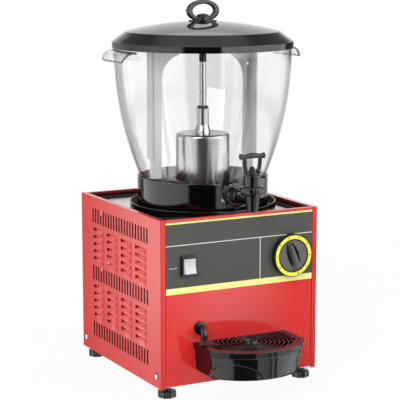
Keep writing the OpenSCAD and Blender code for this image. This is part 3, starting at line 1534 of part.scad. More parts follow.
// Refrigerant lines and the filter drier
line_bend = 12;
evap_in = [coil_r * cos(coil_end), bowl_y + coil_r * sin(coil_end)];
evap_out = [coil_r * cos(coil_start), bowl_y + coil_r * sin(coil_start)];
cond_out_z = cond_z + cond_h * 0.5 / cond_rows;
cond_out_y = cond_y + cond_w / 2 + 3;
hot_line = rounded([[comp_x + comp_stub_off, cond_in_y, comp_stub_z],
    [comp_x + comp_stub_off, cond_in_y, comp_stub_z + 18], [cond_mid_x, cond_in_y, comp_stub_z + 18],
    [cond_mid_x, cond_in_y, cond_stub_z]], line_bend / 2);
liquid_line = rounded([[cond_mid_x, cond_out_y, cond_out_z], [cond_mid_x, drier_y, cond_out_z],
    [drier_x, drier_y, cond_out_z], [drier_x, drier_y, drier_z]], line_bend);
cap_line = rounded([[drier_x, drier_y, drier_z + drier_l], [drier_x, drier_y, line_top_z],
    [drier_x, evap_in[1], line_top_z], [evap_in[0], evap_in[1], line_top_z],
    [evap_in[0], evap_in[1], plate_under]], line_bend / 2);
cold_line = rounded([[evap_out[0], evap_out[1], plate_under], [evap_out[0], evap_out[1], line_top_z],
    [evap_out[0], cond_in_y, line_top_z], [comp_x - comp_stub_off, cond_in_y, line_top_z - 2 * line_bend],
    [comp_x - comp_stub_off, cond_in_y, comp_stub_z]], line_bend / 2);
tilted = [0.31, 0.52, 0.79];
module refrigerant_lines() {
    color("peru") {
        tube(hot_line, line_r, sides_near(hot_line, tilted));
        tube(liquid_line, line_r, sides_near(liquid_line, tilted));
        tube(cap_line, cap_r, sides_near(cap_line, tilted));
        tube(cold_line, line_r, sides_near(cold_line, tilted));
        translate([drier_x, drier_y, drier_z]) rotate_extrude()
            polygon([[0, 0], [line_r + 1, 0], [drier_r, 10], [drier_r, drier_l - 10], [cap_r + 1, drier_l],
                [0, drier_l]]);
        block([drier_x - 4, drier_y, drier_z + drier_l / 2 - 6],
            [drier_x + 4, back_y - sheet_t, drier_z + drier_l / 2 + 6]);
    }
}

// Cable gland and terminal block
gland_x = -60;
gland_z = 40;
module electrical_inlet() {
    depth = 22;
    color("black") {
        difference() {
            union() {
                rod_y(gland_x, gland_z, gland_r * 0.7, back_y - sheet_t - cut, back_y + cut);
                translate([gland_x, back_y, gland_z]) rotate([-90, 0, 0]) {
                    cylinder(r = gland_r, h = gland_l * 0.5, $fn = 6);
                    cylinder(r1 = gland_r * 0.8, r2 = gland_r * 0.6, h = gland_l);
                }
            }
            rod_y(gland_x, gland_z, gland_r * 0.4, back_y - sheet_t - 2 * cut, back_y + gland_l + cut);
        }
        block([gland_x - depth, back_y - sheet_t - depth, gland_z + gland_l],
            [gland_x + depth, back_y - sheet_t, gland_z + gland_l + depth]);
    }
}

seat() base_pan();
seat() left_side_panel();
seat() right_side_panel();
seat() front_panel();
seat() back_panel();
seat() top_plate();
seat() panel_screws();
seat() foot_front_left();
seat() foot_front_right();
seat() foot_back_left();
seat() foot_back_right();
seat() foot_nuts();
seat() control_label();
seat() switch_housing();
seat() switch_rocker();
seat() thermostat_knob();
seat() thermostat_shaft();
seat() thermostat_body();
seat() drain_elbow();
seat() drain_hose();
seat() drip_tray();
seat() drip_grille();
seat() base_dish();
seat() bowl_collar();
seat() evaporator_cylinder();
seat() evaporator_coil();
seat() foam_core();
seat() shaft_guide();
seat() shaft_bushes();
seat() shaft_seal();
seat() drive_shaft();
seat() worm_wheel();
seat() worm();
seat() gearbox_housing();
seat() gearbox_spacers();
seat() drive_motor();
seat() stirrer_hub();
seat() stirrer_frame();
seat() bowl();
seat() bowl_gasket();
seat() tap_body();
seat() tap_washer();
seat() tap_lock_nut();
seat() tap_bonnet();
seat() tap_bonnet_nut();
seat() valve_stem();
seat() valve_cup();
seat() valve_spring();
seat() tap_lever();
seat() lid();
seat() lid_handle();
seat() lid_screw();
seat() compressor();
seat() compressor_grommets();
seat() condenser();
seat() fan_shroud();
seat() fan_motor();
seat() fan_blades();
seat() refrigerant_lines();
seat() electrical_inlet();
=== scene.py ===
"""Refrigerated drink dispenser: the dressed model with its light, floor and camera."""
import json
from math import asin, atan2, copysign, cos, degrees, exp, hypot, pi, radians, sin, sqrt, tan

import bmesh
import bpy
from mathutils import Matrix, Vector
from mathutils.geometry import delaunay_2d_cdt


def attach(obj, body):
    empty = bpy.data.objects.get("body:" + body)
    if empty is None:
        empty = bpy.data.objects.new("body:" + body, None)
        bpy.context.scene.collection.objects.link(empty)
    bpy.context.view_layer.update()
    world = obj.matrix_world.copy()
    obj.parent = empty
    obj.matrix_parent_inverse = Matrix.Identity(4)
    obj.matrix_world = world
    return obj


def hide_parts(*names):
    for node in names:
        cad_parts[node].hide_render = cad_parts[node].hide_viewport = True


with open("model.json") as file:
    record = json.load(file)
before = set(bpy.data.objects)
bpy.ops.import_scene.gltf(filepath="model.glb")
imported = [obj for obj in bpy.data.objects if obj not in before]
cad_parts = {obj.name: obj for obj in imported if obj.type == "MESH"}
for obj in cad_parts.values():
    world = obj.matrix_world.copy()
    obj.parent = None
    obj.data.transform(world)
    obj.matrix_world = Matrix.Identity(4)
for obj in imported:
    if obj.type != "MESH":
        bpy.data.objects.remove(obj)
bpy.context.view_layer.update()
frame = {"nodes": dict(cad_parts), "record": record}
nodes_of_frame = frame["nodes"]
TAU = 2 * pi

# Sizes are in millimetres from the middle of the cabinet's lower edge, as in the part's source
SHIFT_Y = 41.5
SHIFT_Z = 16.0
BOWL_Y = -21.5
TAP_Y = -172.5
TAP_Z = 271.2
LEVER_PIN_Z = 313.1
LEVER_BAR_Z = 335.4
SIDE = 130.0
FRONT = -140.0
BACK = 140.0
TOP = 247.0
FRONT_LIP = -132.9
BACK_LIP = 133.0
FLANGE = 121.8
LIP_Z = 242.5
SHEET = 1.2
SCREW_Z = 16.5
FILM_Y = -140.4
PLATE_Z = 235.5
PAD_Z = 519.06


def placed(p):
    """A point in millimetres from the cabinet's lower edge, in the object's frame in metres."""
    return Vector((p[0], p[1] + SHIFT_Y, p[2] + SHIFT_Z)) / 1000


# Materials

def add(tree, kind, values=None, **settings):
    """A new node; each value is set on an input, or linked to it where it is another node's output."""
    node = tree.nodes.new("ShaderNode" + kind)
    for name, value in settings.items():
        setattr(node, name, value)
    for socket, value in (values or {}).items():
        if isinstance(value, bpy.types.NodeSocket):
            tree.links.new(value, node.inputs[socket])
        else:
            node.inputs[socket].default_value = value
    return node


def finish(name, colour, rough, metal=0.0, shade=0.1, patch=9.0, grain=700.0, span=0.06, bump=0.05,
           depth=0.02, stretch=(1, 1, 1), **sockets):
    """A material whose colour drifts in broad patches and whose gloss and surface vary with a fine grain."""
    mat = bpy.data.materials.new(name)
    mat.use_nodes = True
    tree = mat.node_tree
    shader = tree.nodes["Principled BSDF"]
    where = add(tree, "TexCoord").outputs["Object"]
    where = add(tree, "Mapping", {"Vector": where, "Scale": stretch}).outputs["Vector"]
    broad = add(tree, "TexNoise", {"Vector": where, "Scale": patch, "Detail": 4.0}).outputs["Fac"]
    fine = add(tree, "TexNoise", {"Vector": where, "Scale": grain, "Detail": 3.0}).outputs["Fac"]
    dark = [c * (1 - shade) for c in colour] + [1]
    light = [min(1, c * (1 + shade)) for c in colour] + [1]
    tint = add(tree, "Mix", {"Factor": broad, "A": dark, "B": light}, data_type="RGBA")
    gloss = add(tree, "MapRange", {"Value": fine, "From Min": 0.3, "From Max": 0.7,
                                   "To Min": max(0.0, rough - span), "To Max": min(1.0, rough + span)})
    relief = add(tree, "Bump", {"Height": fine, "Strength": bump, "Distance": depth / 1000})
    tree.links.new(tint.outputs["Result"], shader.inputs["Base Color"])
    tree.links.new(gloss.outputs["Result"], shader.inputs["Roughness"])
    tree.links.new(relief.outputs["Normal"], shader.inputs["Normal"])
    shader.inputs["Metallic"].default_value = metal
    for socket, value in sockets.items():
        shader.inputs[socket.replace("_", " ")].default_value = value
    return mat


def clear_plastic(name, density):
    """Clear plastic that takes up some of the light on its way through."""
    mat = finish(name, (0.99, 0.99, 0.99), 0.015, shade=0.006, patch=6, grain=60, span=0.012, bump=0.015,
                 depth=0.1, Transmission_Weight=1.0, IOR=1.45, Specular_IOR_Level=0.3)
    tree = mat.node_tree
    absorb = add(tree, "VolumeAbsorption", {"Color": (0.55, 0.56, 0.56, 1), "Density": density})
    tree.links.new(absorb.outputs["Volume"], tree.nodes["Material Output"].inputs["Volume"])
    return mat


PAINT = dict(grain=420, bump=0.1, depth=0.04)
BRUSHED = dict(shade=0.06, patch=20, grain=900, bump=0.08)
GLOSSY = dict(shade=0.25, patch=40, grain=300, span=0.02, bump=0.02, IOR=1.5)
PRINTED = dict(grain=2200, bump=0.05, depth=0.01)

RED = finish("red_powder_coat", (0.7, 0.03, 0.026), 0.45, shade=0.04, patch=5, Coat_Weight=0.85,
             Coat_Roughness=0.03, Specular_IOR_Level=0.1, **PAINT)
# Dark red standing in for shade: painted shade on the sheets' inner faces and cut edges, on the lips inside
# the top well and on the corner lines
SHADE_RED = finish("red_painted_shade", (0.13, 0.006, 0.006), 0.6, shade=0.15, patch=12, **PAINT)
ZINC = finish("zinc_sheet", (0.62, 0.63, 0.64), 0.36, metal=1.0, shade=0.12, patch=30, grain=900)
PLATE = finish("stainless_plate", (0.76, 0.76, 0.76), 0.5, metal=1.0, shade=0.05, grain=800,
               stretch=(1, 14, 14))
SCREW = finish("screw_zinc", (0.78, 0.78, 0.79), 0.24, metal=1.0, shade=0.08, patch=300, grain=2500)
STEEL = finish("brushed_stainless", (0.44, 0.44, 0.445), 0.22, metal=1.0, stretch=(1, 1, 12), **BRUSHED)
SHEET_STEEL = finish("stirrer_steel", (0.5, 0.5, 0.505), 0.5, metal=0.4, stretch=(12, 12, 1), **BRUSHED)
BLACK = finish("black_gloss_plastic", (0.0028, 0.0028, 0.003), 0.06, **GLOSSY)
TRAY_BLACK = finish("tray_plastic", (0.005, 0.005, 0.0065), 0.07, **GLOSSY)
TAP_BLACK = finish("tap_plastic", (0.004, 0.004, 0.0045), 0.08, **GLOSSY)
SATIN = finish("satin_black_plastic", (0.01, 0.01, 0.011), 0.38, shade=0.2, patch=60, grain=1800, bump=0.15,
               depth=0.03, Specular_IOR_Level=0.35)
LABEL = finish("label_grey", (0.072, 0.073, 0.067), 0.36, shade=0.06, patch=14, grain=2200, bump=0.06,
               depth=0.01, Specular_IOR_Level=0.22)
YELLOW = finish("label_yellow", (0.93, 0.88, 0.3), 0.4, shade=0.05, patch=14, **PRINTED)
PALE = finish("label_pale", (0.72, 0.72, 0.62), 0.42, shade=0.05, patch=40, **PRINTED)
INK = finish("label_ink", (0.03, 0.03, 0.02), 0.45, shade=0.2, patch=90, **PRINTED)
RING = finish("dial_yellow", (0.86, 0.82, 0.06), 0.34, shade=0.05, patch=30, **PRINTED)
FACE = finish("dial_grey", (0.085, 0.085, 0.083), 0.34, shade=0.08, patch=40, grain=1900, bump=0.12)
ROCKER = finish("rocker_white", (0.6, 0.61, 0.59), 0.14, shade=0.05, patch=60, grain=1500, bump=0.04,
                Subsurface_Weight=0.2, Subsurface_Radius=(0.002, 0.002, 0.002))
CLEAR = clear_plastic("clear_bowl", 62.0)
# The bowl's clear plastic made far denser to light, for the ear beads: painted shade on their edges
CLEAR_EDGE_SHADE = clear_plastic("clear_edge_painted_shade", 700.0)
RUBBER_PALE = finish("pale_silicone", (0.7, 0.7, 0.67), 0.5, shade=0.06, patch=60, grain=1500, bump=0.1)
RUBBER_BLACK = finish("black_rubber", (0.02, 0.02, 0.02), 0.55, shade=0.2, patch=80, grain=1500, bump=0.2)
CASTING = finish("grey_casting", (0.3, 0.31, 0.32), 0.5, shade=0.12, patch=60, bump=0.3, depth=0.1)
BRONZE = finish("sintered_bronze", (0.55, 0.36, 0.15), 0.4, metal=1.0, shade=0.15, patch=90, grain=1600)
COPPER = finish("drawn_copper", (0.72, 0.36, 0.22), 0.28, metal=1.0, shade=0.18, patch=50, grain=900)
FOAM = finish("yellow_foam", (0.75, 0.6, 0.28), 0.85, shade=0.2, patch=120, grain=900, bump=0.5, depth=0.4)
STEEL_BLACK = finish("black_enamel", (0.015, 0.015, 0.016), 0.3, shade=0.2, patch=30, grain=500, bump=0.1)
FINS = finish("aluminium_fins", (0.7, 0.71, 0.72), 0.35, metal=1.0, shade=0.12, patch=60, grain=900)
WHITE = finish("white_plastic", (0.74, 0.74, 0.73), 0.4, shade=0.06, patch=60, grain=1200, bump=0.1)
FOOT = finish("foot_plastic", (0.012, 0.012, 0.012), 0.3, shade=0.2, patch=80, grain=1400, bump=0.15,
              depth=0.03)

SLOT_MATERIALS = {
    "red_sheet": RED, "zinc_sheet": ZINC, "zinc_screws": SCREW, "foot_plastic": FOOT, "label_film": LABEL,
    "black_plastic": BLACK, "rocker_plastic": ROCKER, "knob_plastic": SATIN, "grey_casting": CASTING,
    "stainless": STEEL, "clear_plastic": CLEAR, "pale_rubber": RUBBER_PALE, "black_rubber": RUBBER_BLACK,
    "bronze": BRONZE, "copper": COPPER, "foam": FOAM, "black_steel": STEEL_BLACK, "aluminium_fins": FINS,
    "white_plastic": WHITE,
}


# Shapes: each is a list of points in millimetres and a list of faces

def lathe(outline, steps=96, closed=False):
    """Turns (radius, height) points about the Z axis; piece() welds the points that lie on it."""
    verts, faces = skin([[(x, y, z) for x, y in circle(r, steps)] for r, z in outline], along=closed)
    return verts, [face for face in faces if any(hypot(*verts[v][:2]) > 1e-6 for v in face)]


def hoop(points, radii, steps, closed=True):
    """An outline with rounded corners, turned about the Z axis."""
    return lathe(rounded(points, radii, closed=closed), steps, closed)


def rounded(points, radii, steps=4, closed=True):
    """A flat outline with its corners rounded; radii is one number or one for each point."""
    count = len(points)
    radii = radii if isinstance(radii, (list, tuple)) else [radii] * count
    made = []
    for i, p in enumerate(points):
        p = Vector(p)
        if radii[i] <= 0 or (not closed and i in (0, count - 1)):
            made.append(tuple(p))
            continue
        back = Vector(points[i - 1]) - p
        ahead = Vector(points[(i + 1) % count]) - p
        turn = back.angle(ahead)
        reach = min(radii[i] / tan(turn / 2), 0.49 * back.length, 0.49 * ahead.length)
        radius = reach * tan(turn / 2)
        back.normalize()
        ahead.normalize()
        middle = p + (back + ahead).normalized() * (radius / sin(turn / 2))
        first = p + back * reach - middle
        last = p + ahead * reach - middle
        swing = atan2(first.x * last.y - first.y * last.x, first.dot(last))
        for k in range(steps + 1):
            a = swing * k / steps
            made.append((middle.x + first.x * cos(a) - first.y * sin(a),
                         middle.y + first.x * sin(a) + first.y * cos(a)))
    return made


def eased(t):
    """A share from 0 to 1 with soft ends; what is past them is cut off."""
    t = min(1.0, max(0.0, t))
    return t * t * (3 - 2 * t)


def arc(x, y, r, start, end, steps):
    """Points of an arc, with angles in degrees."""
    angles = [radians(start + (end - start) * i / steps) for i in range(steps + 1)]
    return [(x + r * cos(a), y + r * sin(a)) for a in angles]


def inside(x, y, loop):
    """Whether a flat point lies within a closed loop."""
    hit = False
    for (ax, ay), (bx, by) in zip(loop, loop[1:] + loop[:1]):
        if (ay > y) != (by > y) and x < ax + (y - ay) * (bx - ax) / (by - ay):
            hit = not hit
    return hit


def plate(outline, holes=()):
    """A flat face with holes, as (points, faces)."""
    points = []
    edges = []
    for loop in [outline, *holes]:
        first = len(points)
        points += [Vector(p) for p in loop]
        edges += [(first + i, first + (i + 1) % len(loop)) for i in range(len(loop))]
    made = delaunay_2d_cdt(points, edges, [], 1, 1e-5)
    flat = [tuple(p) for p in made[0]]
    kept = []
    for face in made[2]:
        x = sum(flat[v][0] for v in face) / len(face)
        y = sum(flat[v][1] for v in face) / len(face)
        if inside(x, y, outline) and not any(inside(x, y, hole) for hole in holes):
            kept.append(list(face))
    return flat, kept


def prism(outline, low, high, holes=()):
    """A solid between two heights over a flat outline with holes."""
    flat, faces = plate(outline, holes)
    count = len(flat)
    verts = [(x, y, low) for x, y in flat] + [(x, y, high) for x, y in flat]
    sides = {}
    for face in faces:
        for a, b in zip(face, face[1:] + face[:1]):
            if (b, a) in sides:
                del sides[(b, a)]
            else:
                sides[(a, b)] = True
    made = [f[::-1] for f in faces] + [[v + count for v in f] for f in faces]
    made += [[a, b, b + count, a + count] for a, b in sides]
    return verts, made


def skin(rows, around=True, along=False, caps=False):
    """Faces over rows of points: round each row, on from the last row to the first, and over both ends."""
    count = len(rows[0])
    faces = []
    for k in range(len(rows) if along else len(rows) - 1):
        low = k * count
        high = (k + 1) % len(rows) * count
        for i in range(count if around else count - 1):
            j = (i + 1) % count
            faces.append([low + i, low + j, high + j, high + i])
    if caps:
        faces.append(list(range(count))[::-1])
        faces.append([(len(rows) - 1) * count + i for i in range(count)])
    return [p for row in rows for p in row], faces


def carried(path, section, side=(1, 0, 0), scale=None):
    """A flat section set square to a path at each of its points; scale gives its size there."""
    path = [Vector(p) for p in path]
    last = len(path) - 1
    across = Vector(side)
    rows = []
    for i, p in enumerate(path):
        along = (path[min(i + 1, last)] - path[max(i - 1, 0)]).normalized()
        across = (across - along * across.dot(along)).normalized()
        up = along.cross(across)
        grow = scale[i] if scale else 1
        rows.append([tuple(p + across * (u * grow) + up * (v * grow)) for u, v in section])
    return rows


def sweep(path, section, side=(1, 0, 0), scale=None):
    """A solid whose section is carried along a path."""
    return skin(carried(path, section, side, scale), caps=True)


def tube(path, outside, inside):
    """A pipe along a path, open at both ends."""
    return skin(carried(path, circle(outside, 32)) + carried(path, circle(inside, 32))[::-1], along=True)


def circle(r, steps):
    """A circle's points about the origin."""
    return [(r * cos(TAU * i / steps), r * sin(TAU * i / steps)) for i in range(steps)]


def moved(shape, x=0.0, y=0.0, z=0.0):
    """A shape shifted by a distance."""
    return [(p[0] + x, p[1] + y, p[2] + z) for p in shape[0]], shape[1]


def mapped(shape, way):
    """A shape with each point sent through a function."""
    return [way(p) for p in shape[0]], shape[1]


def spun(shape, a):
    """A shape turned about the Z axis."""
    return mapped(shape, lambda p: (p[0] * cos(a) - p[1] * sin(a), p[0] * sin(a) + p[1] * cos(a), p[2]))


def facing(shape, x, y, z):
    """A shape drawn along Z, turned to point at the front (-Y) from a place."""
    return mapped(shape, lambda p: (x + p[0], y - p[2], z + p[1]))


def along_bore(shape, y):
    """A shape drawn along Z, turned to point at the back from a place on the tap's level bore."""
    return mapped(shape, lambda p: (p[0], y + p[2], TAP_Z + p[1]))


def on_tap(shape):
    """A shape drawn about Z, set on the tap's axis."""
    return moved(shape, 0, TAP_Y, 0)


def on_bowl(shape):
    """A shape drawn about Z, set on the bowl's axis."""
    return moved(shape, 0, BOWL_Y, 0)


def round_bowl(outline, steps):
    """A closed outline turned about the bowl's axis."""
    return on_bowl(lathe(outline, steps, closed=True))


def linked(name, data):
    """A new object in the scene."""
    obj = bpy.data.objects.new(name, data)
    bpy.context.scene.collection.objects.link(obj)
    return obj


def aimed(obj, place, way):
    """Sets a camera or a lamp at a place, looking along a direction."""
    obj.location = place
    obj.rotation_mode = "QUATERNION"
    obj.rotation_quaternion = way.to_track_quat("-Z", "Y")


def piece(name, body, shapes, materials, nodes=(), slot="black_plastic", bevel=0.0, segments=3, thick=0.0,
          offset=-1.0, smooth=40.0, limit=35.0, shade_material_offset=0):
    """Welds shapes into one object that rides on a body; a shape may carry its material's number."""
    bm = bmesh.new()
    for shape in shapes:
        corners = [bm.verts.new(placed(p)) for p in shape[0]]
        number = shape[2] if len(shape) > 2 else 0
        for face in shape[1]:
            bm.faces.new([corners[v] for v in face]).material_index = number
    bmesh.ops.remove_doubles(bm, verts=bm.verts, dist=2e-6)
    if not thick:
        bmesh.ops.recalc_face_normals(bm, faces=bm.faces)
    mesh = bpy.data.meshes.new(name)
    bm.to_mesh(mesh)
    bm.free()
    for material in materials:
        mesh.materials.append(material)
    obj = linked(name, mesh)
    if bevel:
        edge = obj.modifiers.new("edges", "BEVEL")
        edge.width = bevel / 1000
        edge.segments = segments
        edge.limit_method = "ANGLE"
        edge.angle_limit = radians(limit)
    if thick:
        sheet = obj.modifiers.new("sheet", "SOLIDIFY")
        sheet.thickness = thick / 1000
        sheet.offset = offset
        sheet.use_even_offset = True
        # The sheet's inner faces and cut edges take the material number given for painted shade
        sheet.material_offset = shade_material_offset
        sheet.material_offset_rim = shade_material_offset
    if bevel or thick:
        graph = bpy.context.evaluated_depsgraph_get()
        obj.data = bpy.data.meshes.new_from_object(obj.evaluated_get(graph))
        obj.modifiers.clear()
    obj.data.shade_smooth()
    obj.data.set_sharp_from_angle(angle=radians(smooth))
    normals = obj.modifiers.new("normals", "WEIGHTED_NORMAL")
    normals.keep_sharp = True
    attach(obj, body)
    if nodes:
        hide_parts(*nodes)
    return obj


# Every CAD node takes its slot's material; the pieces below then replace the ones that show
for subpart in frame["record"]["subparts"]:
    mesh = nodes_of_frame[subpart["node"]].data
    mesh.materials.clear()
    mesh.materials.append(SLOT_MATERIALS[subpart["material_slot"]])
nodes_of_frame["top_plate"].data.materials[0] = PLATE
nodes_of_frame["tap_washer"].data.materials[0] = RUBBER_BLACK

# Camera, fitted to the photograph
azimuth = radians(-27.693)
height = radians(9.807)
right = Vector((cos(azimuth), sin(azimuth), 0))
behind = Vector((sin(azimuth) * cos(height), -cos(azimuth) * cos(height), sin(height)))
camera = linked("camera", bpy.data.cameras.new("camera"))
aimed(camera, placed(Vector((0, 0, 245.78)) + right * 5.92 + behind * 2298.3), -behind)
camera.data.lens = 135.17
camera.data.sensor_width = 36
camera.data.clip_end = 20
bpy.context.scene.camera = camera
bpy.context.scene.view_settings.view_transform = "Standard"


# Light: how bright the boxes and flags round the object look, by degrees to the right of the camera, level
# with the lid and below it
HIGH_BOXES = [(-180, 1.0), (-152, 0.5), (-128, 0.9), (-104, 0.9), (-80, 1.6), (-64, 2.0), (-27, 2.0),
              (-23, 0.0), (22, 0.0), (25, 3.4), (56, 3.2), (88, 2.7), (104, 1.9), (122, 1.7), (130, 0.1),
              (154, 0.1), (180, 1.0)]
LOW_BOXES = [(-180, 1.0), (-140, 0.3), (-134, 0.2), (-129, 0.2), (-126, 2.1), (-48, 2.0), (-27, 1.6),
             (-23, 0.0), (22, 0.0), (25, 1.6), (46, 1.3), (50, 0.5), (53, 0.5), (56, 2.7), (57, 2.6),
             (59, 0.4), (63, 0.4), (68, 2.4), (105, 2.4), (134, 1.4), (142, 0.5), (180, 1.0)]
BOX_TOP = 3.5
PURE_WHITE = (1, 1, 1, 1)


def studio():
    """White round the object; glossy surfaces show soft boxes there, and a dark gap towards the front."""
    world = bpy.data.worlds.new("studio")
    bpy.context.scene.world = world
    world.use_nodes = True
    tree = world.node_tree
    tree.nodes.clear()

    def step(value, start, end, low=0.0, high=1.0):
        ends = {"Value": value, "From Min": start, "From Max": end, "To Min": low, "To Max": high}
        return add(tree, "MapRange", ends, interpolation_type="SMOOTHSTEP").outputs["Result"]

    def work(kind, *values):
        return add(tree, "Math", dict(enumerate(values)), operation=kind).outputs["Value"]

    def dot(a, b):
        return work("ADD", work("MULTIPLY", x, a), work("MULTIPLY", y, b))

    def blend(amount, a, b):
        return add(tree, "Mix", {"Factor": amount, "A": a, "B": b}).outputs["Result"]

    def background(colour, strength):
        return add(tree, "Background", {"Color": colour, "Strength": strength}).outputs["Background"]

    def choose(amount, a, b):
        return add(tree, "MixShader", {0: amount, 1: a, 2: b}).outputs[0]

    def ring_of(stops, place):
        ramp = add(tree, "ValToRGB", {"Fac": place})
        made = ramp.color_ramp.elements
        made.remove(made[1])
        for i, (angle, value) in enumerate(stops):
            share = (angle + 180) / 360
            stop = made.new(share) if i else made[0]
            stop.position = share
            stop.color = [value / BOX_TOP] * 3 + [1]
        return work("MULTIPLY", ramp.outputs["Color"], BOX_TOP)

    # The way a ray goes: its height z, how far ahead it is towards the camera, and its angle around
    way = add(tree, "TexCoord").outputs["Generated"]
    x, y, z = add(tree, "SeparateXYZ", {0: way}).outputs
    level = work("MAXIMUM", work("SQRT", dot(x, y)), 0.001)
    ahead = work("DIVIDE", dot(sin(azimuth), -cos(azimuth)), level)
    across = work("DIVIDE", dot(cos(azimuth), sin(azimuth)), level)
    around = work("ARCTAN2", across, ahead)

    # Near the floor the boxes stand a little further round, and just above that they are dimmer
    turned = work("ADD", around, step(z, -0.38, -0.31, -0.105, 0.0))
    place = work("MULTIPLY_ADD", turned, 1 / TAU, 0.5)
    boxes = blend(step(z, -0.11, -0.075), ring_of(LOW_BOXES, place), ring_of(HIGH_BOXES, place))
    fade = blend(step(z, -0.31, -0.36), step(z, -0.29, -0.21, 0.45, 1.0), 0.8)
    boxes = work("MULTIPLY", boxes, fade)

    # Above them are a broad light at the front, dark rear corners, a light at the rear and a dimmer top
    front = blend(work("MULTIPLY", step(ahead, 0.2, 0.95), step(z, 0.3, 0.85)), boxes, 1.1)
    sides = blend(work("MULTIPLY", step(ahead, -0.6, -0.75), step(z, 0.36, 0.46)), front, 0.25)
    rear = work("ADD", step(z, 0.44, 0.5, 1.05, 1.6), step(z, 0.72, 0.9, 0, -0.9))
    both = blend(step(ahead, -0.955, -0.975), sides, rear)
    both = blend(step(z, 0.75, 0.92), both, 0.85)

    # The camera sees white, mirrored rays see the boxes, and the rest is soft light
    ray = add(tree, "LightPath").outputs
    bounced = work("GREATER_THAN", ray["Glossy Depth"], 0.5)
    through = ray["Is Transmission Ray"]
    mirrored = work("MAXIMUM", ray["Is Glossy Ray"], work("MULTIPLY", through, bounced))
    straight = work("MULTIPLY", through, work("SUBTRACT", 1, bounced))
    direct = work("MAXIMUM", ray["Is Camera Ray"], straight)
    plain = choose(mirrored, background(PURE_WHITE, 0.62), background(both, 1.0))
    add(tree, "OutputWorld", {"Surface": choose(direct, plain, background(PURE_WHITE, 1.0))})


studio()

# Soft square lamps, aimed at the object's middle, that glossy surfaces don't mirror
for name, place, power in (("key", (-1.9, -1.6, 1.7), 47), ("fill", (1.9, -1.9, 1.3), 22)):
    lamp = linked(name, bpy.data.lights.new(name, "AREA"))
    lamp.data.size = 1.6
    lamp.data.energy = power
    lamp.visible_glossy = False
    aimed(lamp, place, Vector((0, 0, 0.25)) - Vector(place))

# Floor: white where it is seen, and dull white to the light, so that it keeps a soft shadow
bm = bmesh.new()
bmesh.ops.create_circle(bm, cap_ends=True, radius=1.1, segments=96)
floor_mesh = bpy.data.meshes.new("floor")
bm.to_mesh(floor_mesh)
bm.free()
floor = linked("floor", floor_mesh)
floor.location = (0, 0.04, -0.0002)
floor_paint = bpy.data.materials.new("floor_white")
floor_paint.use_nodes = True
paint = floor_paint.node_tree
paint.nodes.clear()
rays = add(paint, "LightPath").outputs
seen = rays["Is Camera Ray"]
for kind in ("Is Transmission Ray", "Is Glossy Ray"):
    seen = add(paint, "Math", {0: seen, 1: rays[kind]}, operation="MAXIMUM").outputs[0]
share = add(paint, "Math", {0: seen, 1: 0.93}, operation="MULTIPLY")
dull = add(paint, "BsdfDiffuse", {"Color": (0.86, 0.86, 0.86, 1)})
bright = add(paint, "Emission")
mixed = add(paint, "MixShader", {0: share.outputs[0], 1: dull.outputs[0], 2: bright.outputs[0]})
add(paint, "OutputMaterial", {"Surface": mixed.outputs[0]})
floor.data.materials.append(floor_paint)
floor.visible_glossy = False
floor.visible_transmission = False


# Cabinet

def cells(us, vs, blocked):
    """Grid cells between the cuts, without those that lie in a blocked rectangle."""
    kept = []
    for u0, u1 in zip(us, us[1:]):
        for v0, v1 in zip(vs, vs[1:]):
            u = (u0 + u1) / 2
            v = (v0 + v1) / 2
            if not any(a < u < b and c < v < d for a, b, c, d in blocked):
                kept.append((u0, u1, v0, v1))
    return kept


def quads(corner_lists, flip=False):
    """Separate four-cornered faces as one shape."""
    verts = []
    faces = []
    for corners in corner_lists:
        first = len(verts)
        verts += corners
        face = [first, first + 1, first + 2, first + 3]
        faces.append(face[::-1] if flip else face)
    return verts, faces


def cuts(holes, k, *values):
    """Sorted cuts at places and at the holes' edges, without repeats; k is 0 across and 2 upwards."""
    made = []
    for v in sorted([*values, *[h[k] for h in holes], *[h[k + 1] for h in holes]]):
        if not made or v - made[-1] > 1e-4:
            made.append(v)
    return made


SLOT_ROWS = [38.0, 128.0, 218.0]
SLOT_PLACES = [(j - 10) * 9.6 for j in range(21)]
SLOTS = [(u - 2.25, u + 2.25, v - 11.25, v + 11.25) for v in SLOT_ROWS for u in SLOT_PLACES]
LOUVRES = [((j - 1.5) * 50 - 19.5, (j - 1.5) * 50 + 19.5, v + (i - 2) * 11.2 - 3, v + (i - 2) * 11.2 + 3)
           for v in (83.0, 173.0) for i in range(5) for j in range(4)]
FLAP = [(0.0, 0.0), (5.4, 5.5), (0.0, 6.0)]
STRIP = 122.4
TONGUE_X = 40
RETURN_LOW = 25.5
RETURN_HIGH = 234.3
RETURN_Y = -126


